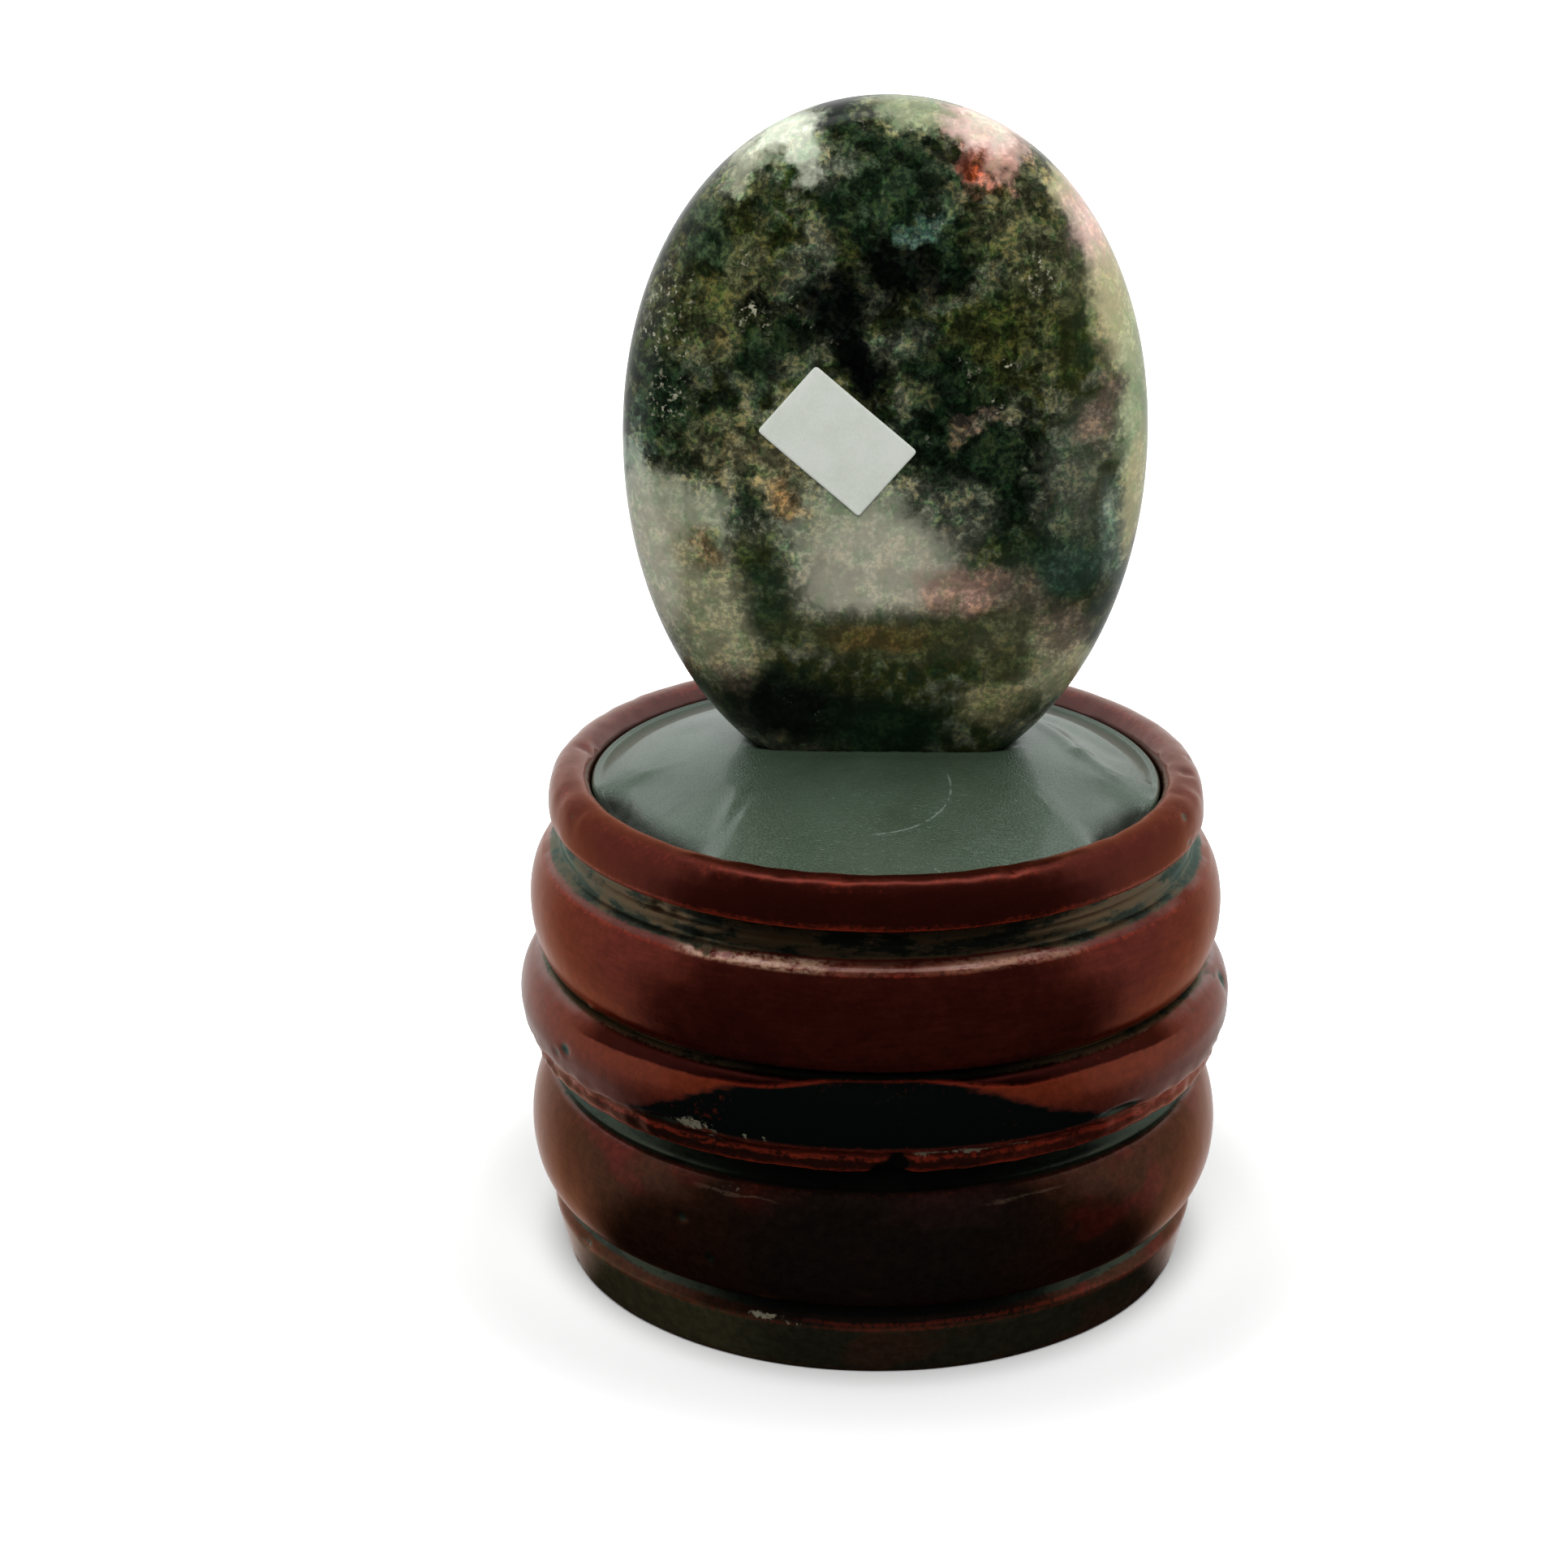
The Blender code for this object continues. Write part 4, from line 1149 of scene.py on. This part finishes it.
def makeLabel(material):
    s = labelSettings
    half = np.array([s["width"], s["height"]]) / 2
    inner = half - s["corner"]
    u, v = np.meshgrid(np.linspace(-1, 1, s["columns"] + 1), np.linspace(-1, 1, s["rows"] + 1))
    flat = np.column_stack([u.ravel(), v.ravel()]) * half
    over = np.maximum(np.abs(flat) - inner, 0)
    reach = np.maximum(np.hypot(*over.T), s["corner"])[:, None]
    flat = np.sign(flat) * (np.minimum(np.abs(flat), inner) + over * s["corner"] / reach)
    tilt = math.radians(s["tilt"])
    x = s["centre"][0] + flat[:, 0] * math.cos(tilt) - flat[:, 1] * math.sin(tilt)
    z = s["centre"][1] + flat[:, 0] * math.sin(tilt) + flat[:, 1] * math.cos(tilt)
    share = np.abs(flat) / half
    rim = np.clip(share.max(axis=1) - s["rimFrom"], 0, 1) / (1 - s["rimFrom"])
    corner = np.clip(share.sum(axis=1) - s["cornerFrom"], 0, 1) / (2 - s["cornerFrom"])
    raised = s["gap"] + s["wave"] * (1 + fieldOf(atHeight(flat, 0.0), 0.35, 7))
    raised += s["lift"] * corner ** 2 * np.where(flat[:, 0] > 0, 1.0, 0.4)
    under = -stoneFront(x, z) - raised
    outer = under - s["thickness"] + s["rimThin"] * rim
    count = len(flat)
    grid = np.arange(count).reshape(u.shape)
    corners = (grid[:-1, :-1], grid[:-1, 1:], grid[1:, 1:], grid[1:, :-1])
    faces = []
    for a, b, c, d in zip(*(part.ravel() for part in corners)):
        faces += [(a, b, c, d), (count + a, count + d, count + c, count + b)]
    border = [*grid[0], *grid[1:, -1], *grid[-1, -2::-1], *grid[-2:0:-1, 0]]
    faces += [(a, count + a, count + b, b) for a, b in zip(border, border[1:] + border[:1])]
    points = np.concatenate([np.column_stack([x, y, z]) for y in (outer, under)])
    label = addPiece("paperLabel", meshFrom("paperLabel", points * mm, faces), material)
    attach(label, "stone")
    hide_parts("stone_label")
    print("label stuck on")


def makePaper():
    s = labelSettings
    material, graph, place = newMaterial("barePaper")
    fibre = place.noise(4.0, 5.0, 0.65, 0.6)
    cloud = place.noise(0.35, 3.0)
    finishMaterial(graph, {
        "Base Color": graph.mix((fibre * 0.5 + cloud * 0.5).ramp(0.3, 0.6), s["shade"], s["paper"]),
        "Roughness": 0.62 + fibre * 0.2,
        "Normal": graph.bump(fibre, 0.00003, 0.5),
    })
    return material


# The pad: a leatherette skin over foam, pressed down by the stone
padSettings = {
    "radius": 26.7,
    "top": 52.4,
    "edge": 47.8,
    "crownRadius": 24.9,
    "edgeSlope": 0.22,
    "shoulder": 0.5,
    "pressedOut": 0.28,
    "pressedDeep": 1.8,
    "pressedFrom": 23.0,
    "creviceWide": 1.0,
    "creviceDeep": 1.7,
    "creviceFrom": 23.8,
    "creviceFade": 2.4,
    "creviceRagged": 0.16,
    "bottom": 36.3,
    "hem": 7.5,
    "thickness": 0.8,
    "steps": 288,
    "skin": 0.34,
    "clearance": 0.3,
    "fold": 1.1,
    "simScale": 10.0,
    "simFrames": 18,
    "simCap": 0.45,
    "simSideRings": 10,
    "simStone": (96, 48),
    "simSag": 0.25,
    "simPressGap": 0.002,
    "simClothGap": 0.0015,
    "leather": (0.044, 0.063, 0.039),
    "leatherPale": (0.060, 0.083, 0.057),
    "scratchCentre": (-1.0, -12.2),
    "scratchRadius": 7.6,
    "wrinkles": (11.3, -20.3),
    "dust": (0.42, 0.45, 0.42),
    "creviceDirtAndShade": (0.012, 0.014, 0.008),
    "sheen": (0.86, 1.0, 0.93),
}


def smoothLower(a, b, width):
    # The lower of two heights, rounded where they meet
    blend = np.clip(0.5 + 0.5 * (b - a) / width, 0, 1)
    return b + (a - b) * blend - width * blend * (1 - blend)


def puttyUnder(x, y):
    # Height of the putty's lower surface, far above where there is none
    s = puttySettings
    across = (x - s["centre"][0]) / s["halfWidth"]
    along = (y - s["centre"][1]) / s["halfDepth"]
    spread = 1 - across ** 2 - along ** 2
    low = s["centre"][2] - s["halfHeight"] * np.sqrt(np.clip(spread, 0, 1))
    return np.where(spread > 0, low, farAbove)


def padCrown(x, y):
    # The unpressed pad's height
    s = padSettings
    reach = np.hypot(x, y)
    crown = s["top"] - (s["top"] - s["edge"]) * (reach / s["crownRadius"]) ** 2
    outer = s["edge"] - (reach - s["crownRadius"]) * s["edgeSlope"]
    return np.where(reach < s["crownRadius"], crown, outer)


# Where the pad has shrunk from the rim: degrees from and to (right is plus), and how much
padCrevices = {
    "left": (-84.0, -36.0, 1.0),
    "right": (47.0, 76.0, 1.0),
    "rightFront": (18.0, 50.0, 0.25),
}

# Folds and hollows in the pad's top: from x, y to x, y, half width, height (minus is a hollow)
padFolds = {
    "ridge": (15.9, 5.6, 19.2, -0.7, 1.0, 0.30),
    "ridgeMiddle": (19.2, -0.7, 22.4, -4.2, 0.9, 0.28),
    "ridgeEnd": (22.6, -4.6, 25.6, -3.2, 0.7, 0.22),
    "dimple": (23.8, -6.0, 23.9, -6.1, 0.7, -0.30),
    "besideRidge": (17.0, 8.0, 22.5, 2.0, 1.6, -0.22),
    "leftHollow": (-17.5, 4.0, -19.5, -4.0, 2.4, -0.15),
    "pit": (-6.7, -21.9, -6.6, -21.9, 0.35, -0.25),
}


def padRelief(x, y):
    lift = np.zeros_like(x)
    for x0, y0, x1, y1, wide, high in padFolds.values():
        along = np.array([x1 - x0, y1 - y0])
        share = np.clip(((x - x0) * along[0] + (y - y0) * along[1]) / (along @ along), 0, 1)
        far = np.hypot(x - x0 - share * along[0], y - y0 - share * along[1])
        lift += high * np.exp(-(far / wide) ** 2)
    return lift


def padCrevice(x, y):
    turn = np.degrees(np.arctan2(x, -y))
    crevice = np.zeros_like(x)
    for start, end, strength in padCrevices.values():
        rise = np.clip((turn - start) / 7, 0, 1) * np.clip((end - turn) / 7, 0, 1)
        crevice = np.maximum(crevice, strength * rise)
    return crevice


def padHeight(x, y):
    s = padSettings
    stoneLow = stoneUnderside(x, y) - s["clearance"]
    wadLow = puttyUnder(x, y) - s["clearance"]
    free = padCrown(x, y) + padRelief(x, y)
    pressed = smoothLower(free, np.minimum(stoneLow, 80.0), s["fold"])
    return np.minimum(pressed, np.minimum(stoneLow, wadLow))


puttySettings = {
    "centre": (0.6, 0.0, 46.6),
    "halfWidth": 7.5,
    "halfDepth": 4.5,
    "halfHeight": 2.1,
    "steps": 96,
    "rings": 30,
    "lumps": 0.10,
    "underStone": 0.12,
    "colour": (0.50, 0.56, 0.58),
    "grime": (0.30, 0.33, 0.33),
}


def skinPath():
    # Radii of the pad's top, then its section over the shoulder, down the side and under to the hem
    s = padSettings
    radius, round_, bottom = s["radius"], s["shoulder"], s["bottom"]
    flat = radius - round_
    start = float(padCrown(flat, 0.0))
    path = [(flat + round_ * sine, start - round_ * (1 - cosine)) for sine, cosine in quarterTurn(8, 1)]
    path += [(radius, z) for z in np.linspace(start - round_ - 0.5, bottom + 1.0, 12)]
    path += [(radius - 1.0 + cosine, bottom + 1.0 - sine) for sine, cosine in quarterTurn(5, 1)]
    path += [(r, bottom) for r in np.linspace(radius - 1.6, radius - s["hem"], 10)]
    return np.arange(s["skin"], flat, s["skin"]), path


def makePadSkin():
    # Rings of the pressed skin, how many of them are its top, and how much painted shade and dirt each
    # point gets in the crevices
    s = padSettings
    topRadii, rest = skinPath()
    circles = [circle(radius, s["steps"]) for radius in topRadii]
    rings = [atHeight(flat, padHeight(*flat.T)) for flat in circles]
    rings += [atHeight(circle(radius, s["steps"]), height) for radius, height in rest]
    rings = np.stack(rings)
    x, y, z = np.moveaxis(rings, 2, 0)
    reach = np.hypot(x, y)
    start = s["pressedFrom"]
    outer = np.clip((reach - start) / (s["radius"] - s["shoulder"] - start), 0, 1) ** 2
    depth = z[len(topRadii):].max() - z
    near = outer * np.clip(1 - depth / s["pressedDeep"], 0, 1)
    crevice = padCrevice(x, y)
    ragged = 1 + s["creviceRagged"] * fieldOf(rings.reshape(-1, 3), 0.9, 31, 2).reshape(reach.shape)
    shift = near * (s["pressedOut"] - s["creviceWide"] * crevice * ragged)
    rings[..., :2] *= (1 + shift / np.maximum(reach, 1))[..., None]
    fall = np.clip((reach - s["creviceFrom"]) / s["creviceFade"], 0, 1) ** 1.3
    fall = fall * np.clip(1 - depth / (s["pressedDeep"] + 2), 0, 1) * crevice * ragged
    rings[..., 2] -= fall * s["creviceDeep"]
    return rings, len(topRadii), np.clip(fall * 1.4, 0, 1)


# The cloth's settings by Blender's own names
clothSettings = {
    "vertex_group_mass": "held",
    "quality": 6,
    "mass": 0.3,
    "tension_stiffness": 20,
    "compression_stiffness": 20,
    "shear_stiffness": 8,
    "bending_stiffness": 1.5,
    "use_pressure": True,
    "uniform_pressure_force": 2.0,
}


def simulated(rings, topCount):
    # Blows the skin up against the stone as cloth, at ten times its size, and caps how far it moves
    s = padSettings
    count = topCount + s["simSideRings"]
    start = rings[:count].copy()
    start[:topCount, :, 2] -= s["simSag"]
    points, faces = ringGrid(start, False)
    scale = s["simScale"] * mm
    cloth = addPiece("padCloth", meshFrom("padCloth", points * scale, [f[::-1] for f in faces]))
    held = np.hypot(points[:, 0], points[:, 1]) > s["radius"] - 1.0
    pin = cloth.vertex_groups.new(name="held")
    for weight, which in ((1.0, held), (0.0, ~held)):
        pin.add(np.flatnonzero(which).tolist(), weight, "REPLACE")
    stonePoints, stoneFaces = stoneShell(*s["simStone"])
    press = addPiece("padPress", meshFrom("padPress", stonePoints * scale, stoneFaces))
    press.modifiers.new("press", "COLLISION")
    press.collision.thickness_outer = s["simPressGap"]
    work = cloth.modifiers.new("cloth", "CLOTH")
    for name, value in clothSettings.items():
        setattr(work.settings, name, value)
    work.settings.effector_weights.gravity = 0
    work.collision_settings.distance_min = s["simClothGap"]
    work.point_cache.frame_start = 1
    work.point_cache.frame_end = s["simFrames"]
    for step in range(1, s["simFrames"] + 1):
        scene.frame_set(step)
    settled = plainMesh(cloth, "padSettled")
    found = np.array([tuple(v.co) for v in settled.vertices]) / scale
    scene.frame_set(1)
    for item in (cloth, press):
        bpy.data.objects.remove(item)
    moved = found[:count * s["steps"]].reshape(start.shape) - start
    length = np.linalg.norm(moved, axis=2, keepdims=True)
    moved *= np.minimum(1, s["simCap"] / np.maximum(length, 1e-9))
    print("pad skin settled, moved up to", round(float(length.max()), 2), "mm")
    return np.concatenate([start + moved, rings[count:]])


def makePad(material):
    s = padSettings
    rings, topCount, grime = makePadSkin()
    rings = simulated(rings, topCount)
    x, y, z = np.moveaxis(rings[:topCount], 2, 0)
    limit = np.minimum(stoneUnderside(x, y), puttyUnder(x, y)) - s["clearance"]
    rings[:topCount, :, 2] = np.minimum(z, limit)
    skin = meshFrom("padOuter", *ringGrid(rings, False))
    inward = np.array([tuple(v.normal) for v in skin.vertices])[:grime.size].reshape(rings.shape)
    inner = rings + inward * s["thickness"]
    bpy.data.meshes.remove(skin)
    points, faces = ringGrid(np.concatenate([rings, inner[::-1]]))
    pad = solidPiece("padCover", points, faces, material)
    # The crevices' painted shade and dirt
    addMask(pad.data, "grime", np.pad(grime.ravel(), (0, len(points) - grime.size)))
    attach(pad, "stand")
    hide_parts("pad_cover")
    print("pad covered:", len(faces), "faces")
    return inner, topCount


def makeLeatherette():
    s = padSettings
    material, graph, place = newMaterial("greyLeatherette")
    x, y, _ = place.split()
    cloud = place.noise(0.12, 4.0, 0.6)
    grain = place.cells(2.6, "DISTANCE_TO_EDGE")
    fine = place.noise(3.5, 3.0, 0.6)

    def distance(centre, stretch=1.0):
        across, along = x - centre[0], y - centre[1]
        return graph.math("SQRT", across * across * stretch + along * along)

    far = distance(s["scratchCentre"]) + (fine - 0.5) * 0.1 - s["scratchRadius"]
    scratch = abs(far).ramp(0.13, 0.04) * x.ramp(-1.5, 0.5) * y.ramp(-9.8, -11.0)
    scratch = scratch * place.noise(0.8, 3.0).ramp(0.40, 0.52)
    # Painted shade and dirt in the crevices by the rim
    grime = (graph.attribute("grime") + (fine - 0.5) * 0.15).ramp(0.05, 0.85)
    colour = graph.paint(
        graph.mix(cloud.ramp(0.3, 0.7), s["leather"], s["leatherPale"]),
        (place.cells(0.9).ramp(0.07, 0.035) * cloud.ramp(0.5, 0.6), s["dust"]),
        (scratch * 0.32, s["dust"]),
        (grime, s["creviceDirtAndShade"]))
    creased = graph.millimetres(stretch=(0.35, 1.6, 1)).noise(0.9, 3.0, 0.55, 0.8)
    creased = creased * distance(s["wrinkles"], 0.35).ramp(5.0, 1.0, 0.15, 1.0)
    relief = graph.bump(grain.ramp(0.0, 0.12), 0.00004, 0.6)
    relief = graph.bump(fine, 0.00004, 0.8, relief)
    relief = graph.bump(creased, 0.00030, 0.5, relief)
    finishMaterial(graph, {
        "Base Color": colour,
        "Roughness": 0.24 + fine * 0.12 + grime * 0.4,
        "Specular IOR Level": 0.8,
        "Specular Tint": (*s["sheen"], 1.0),
        "Coat Tint": (*s["sheen"], 1.0),
        "Coat Weight": (1 - grime) * 0.45,
        "Coat Roughness": 0.12,
        "Normal": relief,
    })
    return material


# The foam inside the pad's cover
foamSettings = {
    "gap": 0.3,
    "sideDrop": 2.0,
    "bottom": 39.7,
    "rows": 12,
    "bulge": 0.004,
    "pitDepth": 0.08,
    "pitsAbove": 41.0,
    "colour": (0.34, 0.31, 0.24),
    "pale": (0.62, 0.59, 0.49),
}


def makeFoam(inner, topCount, material):
    # Its top follows every second point of the cover's inner surface
    s = foamSettings
    skin = padSettings
    steps = skin["steps"] // 2
    radius = skin["radius"] - skin["thickness"] - s["gap"]
    top = inner[:topCount:2, ::2] - (0, 0, s["gap"])
    heights = np.linspace(skin["edge"] - skin["thickness"] - s["sideDrop"], s["bottom"], s["rows"])
    side = [atHeight(circle(radius, steps), z) for z in heights]
    under = [atHeight(circle(r, steps), s["bottom"]) for r in np.linspace(radius, 1.0, s["rows"])[1:]]
    points, faces = ringGrid(list(top) + side + under)
    pits = fieldOf(points, 1.3, 11)
    spread = np.hypot(points[:, 0], points[:, 1])
    points[:, :2] *= (1 - s["bulge"] * (1 + pits) * (spread > radius - 1))[:, None]
    points[:, 2] += np.where(points[:, 2] > s["pitsAbove"], -s["pitDepth"] * (1 + pits), 0)
    foam = solidPiece("padFoam", points, faces, material)
    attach(foam, "stand")
    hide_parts("pad_foam")
    print("foam cut")


def makeFoamMaterial():
    material, graph, place = newMaterial("creamFoam")
    pores = place.cells(1.6)
    finishMaterial(graph, {
        "Base Color": graph.mix(pores.ramp(0.1, 0.5), foamSettings["colour"], foamSettings["pale"]),
        "Roughness": 0.95,
        "Normal": graph.bump(pores, 0.0004, 0.7),
    })
    return material


boardColours = {
    "fibre": (0.24, 0.22, 0.18),
    "pale": (0.36, 0.34, 0.29),
    "fleck": (0.12, 0.10, 0.08),
}


def makeBoardMaterial():
    c = boardColours
    material, graph, place = newMaterial("greyBoard")
    fibre = place.noise(2.0, 5.0, 0.7, 1.0)
    fleck = place.noise(5.0, 2.0).ramp(0.62, 0.7)
    colour = graph.mix(fibre.ramp(0.35, 0.65), c["fibre"], c["pale"])
    finishMaterial(graph, {
        "Base Color": graph.mix(fleck, colour, c["fleck"]),
        "Roughness": 0.88,
        "Normal": graph.bump(fibre, 0.00008, 0.6),
    })
    return material


def makePutty(material):
    # A thumbed wad: a low ball whose top takes the stone's shape
    s = puttySettings
    size = (s["halfWidth"], s["halfDepth"], s["halfHeight"])
    angles = np.linspace(0, math.pi, s["rings"] + 2)[1:-1]
    rings = [atHeight(circle(math.sin(a), s["steps"]), math.cos(a)) * size + s["centre"] for a in angles]
    points, faces = ringGrid(rings)
    thumbed = 1 - s["lumps"] * (0.6 + fieldOf(points, 0.7, 13, 3)) * 0.8
    points = s["centre"] + (points - s["centre"]) * thumbed[:, None]
    ceiling = stoneUnderside(points[:, 0], points[:, 1]) - s["underStone"]
    points[:, 2] = np.minimum(points[:, 2], ceiling)
    wad = solidPiece("seatPutty", points, faces, material)
    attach(wad, "stand")
    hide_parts("seat_putty")
    print("putty pressed in")


def makePuttyMaterial():
    s = puttySettings
    material, graph, place = newMaterial("palePutty")
    smear = graph.millimetres(stretch=(1, 3, 2)).noise(0.8, 4.0, 0.6)
    fine = place.noise(4.0, 3.0)
    finishMaterial(graph, {
        "Base Color": graph.mix(smear.ramp(0.45, 0.75), s["colour"], s["grime"]),
        "Roughness": 0.52 + fine * 0.15,
        "Normal": graph.bump(smear, 0.0003, 0.6, graph.bump(fine, 0.00005, 0.4)),
    })
    return material


# Floor, world and lamps
stageSettings = {
    "floorHalf": 3.0,
    "floorBelow": 0.02,
    "floorColour": (0.50, 0.50, 0.49),
    "floorSeen": (0.90, 0.905, 0.90),
    "floorMirrored": 0.85,
    "nearWhite": 0.21,
    "softShade": 0.09,
    "darkFront": 0.015,
    "brightBack": 0.92,
    "overPanel": 2.6,
    "sideReach": 0.54,
    "frontAbove": (0.0, -0.75, 0.95, 0.7, 9.4),
    "lampAim": (0, 0, 0.06),
}


def makeFloor():
    s = stageSettings
    corners = ((-1, -1), (1, -1), (1, 1), (-1, 1))
    points = [(x * s["floorHalf"], y * s["floorHalf"], -s["floorBelow"] * mm) for x, y in corners]
    mesh = meshFrom("floor", points, [(0, 1, 2, 3)])
    material, graph, place = newMaterial("paleFloor")
    camera = graph.node("ShaderNodeLightPath", output="Is Camera Ray")
    glossy = Wire(graph, camera.socket.node.outputs["Is Glossy Ray"])
    x, y, _ = place.split()
    away = place.length()
    # Painted shadow: the floor's glow is held low near the foot and dips again a little further out, a
    # soft painted shadow round the stand
    whiter = away.ramp(28.0, 34.0, 0.0, s["nearWhite"]) - away.ramp(33.0, 39.0, 0.0, s["softShade"])
    whiter = whiter + away.ramp(41.0, 62.0, 0.0, 1 + s["softShade"] - s["nearWhite"])
    # Painted dark reflection: in reflections the floor is dark ahead of the stand and bright behind it
    ahead = ((y + abs(x) * 0.45) / away).ramp(-0.06, 0.32, s["darkFront"], s["floorMirrored"])

    def glowing(strength):
        return graph.node("ShaderNodeEmission", None, {"Color": (1, 1, 1, 1), "Strength": strength})

    matt = graph.node("ShaderNodeBsdfDiffuse", None, {"Color": (*s["floorColour"], 1.0)})
    paper = graph.node("ShaderNodeBsdfDiffuse", None, {"Color": (*s["floorSeen"], 1.0)})
    lit = graph.node("ShaderNodeAddShader", None, {0: paper, 1: glowing(whiter)})
    seen = graph.node("ShaderNodeMixShader", None, {0: camera, 1: matt, 2: lit})
    seen = graph.node("ShaderNodeMixShader", None, {0: glossy, 1: seen, 2: glowing(ahead)})
    graph.node("ShaderNodeOutputMaterial", None, {"Surface": seen})
    floor = addPiece("floor", mesh, material)
    print("floor laid")


def makeWorld():
    # White to the camera; reflections and soft light come from behind and the sides, the front is dim
    s = stageSettings
    world = bpy.data.worlds.new("softStudio")
    scene.world = world
    world.use_nodes = True
    world.node_tree.nodes.clear()
    graph = Graph(world.node_tree)
    x, y, z = graph.node("ShaderNodeTexCoord", output="Generated").split()
    side = y + s["sideReach"] * abs(x) - 0.1 * z
    over = abs(x).ramp(0.50, 0.36) * y.ramp(-0.10, -0.05) * y.ramp(0.30, 0.22) * z.ramp(0.6, 0.7)
    glow = side.ramp(-0.04, 0.26, s["darkFront"], s["brightBack"]) + over * s["overPanel"]
    camera = graph.node("ShaderNodeLightPath", output="Is Camera Ray")
    strength = camera + (1 - camera) * glow
    light = graph.node("ShaderNodeBackground", None, {"Color": (1, 1, 1, 1), "Strength": strength})
    graph.node("ShaderNodeOutputWorld", None, {"Surface": light})


def makeLamp(name, x, y, z, size, power):
    data = bpy.data.lights.new(name, "AREA")
    data.shape = "SQUARE"
    data.size = size
    data.energy = power
    lamp = bpy.data.objects.new(name, data)
    scene.collection.objects.link(lamp)
    lamp.location = (x, y, z)
    aim = Vector(stageSettings["lampAim"]) - lamp.location
    lamp.rotation_euler = aim.to_track_quat("-Z", "Y").to_euler()
    lamp.visible_glossy = False
    lamp.visible_camera = False


def dressBoard(material):
    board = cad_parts["pad_board"]
    for slot in board.material_slots:
        slot.material = material


makeCamera()
makeStand(makeLacquer())
makeFelt(makeFeltMaterial())
padInner, padTopCount = makePad(makeLeatherette())
makeFoam(padInner, padTopCount, makeFoamMaterial())
makePutty(makePuttyMaterial())
dressBoard(makeBoardMaterial())
makeStone(makeStoneMaterial())
makeLabel(makePaper())
makeFloor()
makeWorld()
makeLamp("frontAbove", *stageSettings["frontAbove"])
print("lamps set")
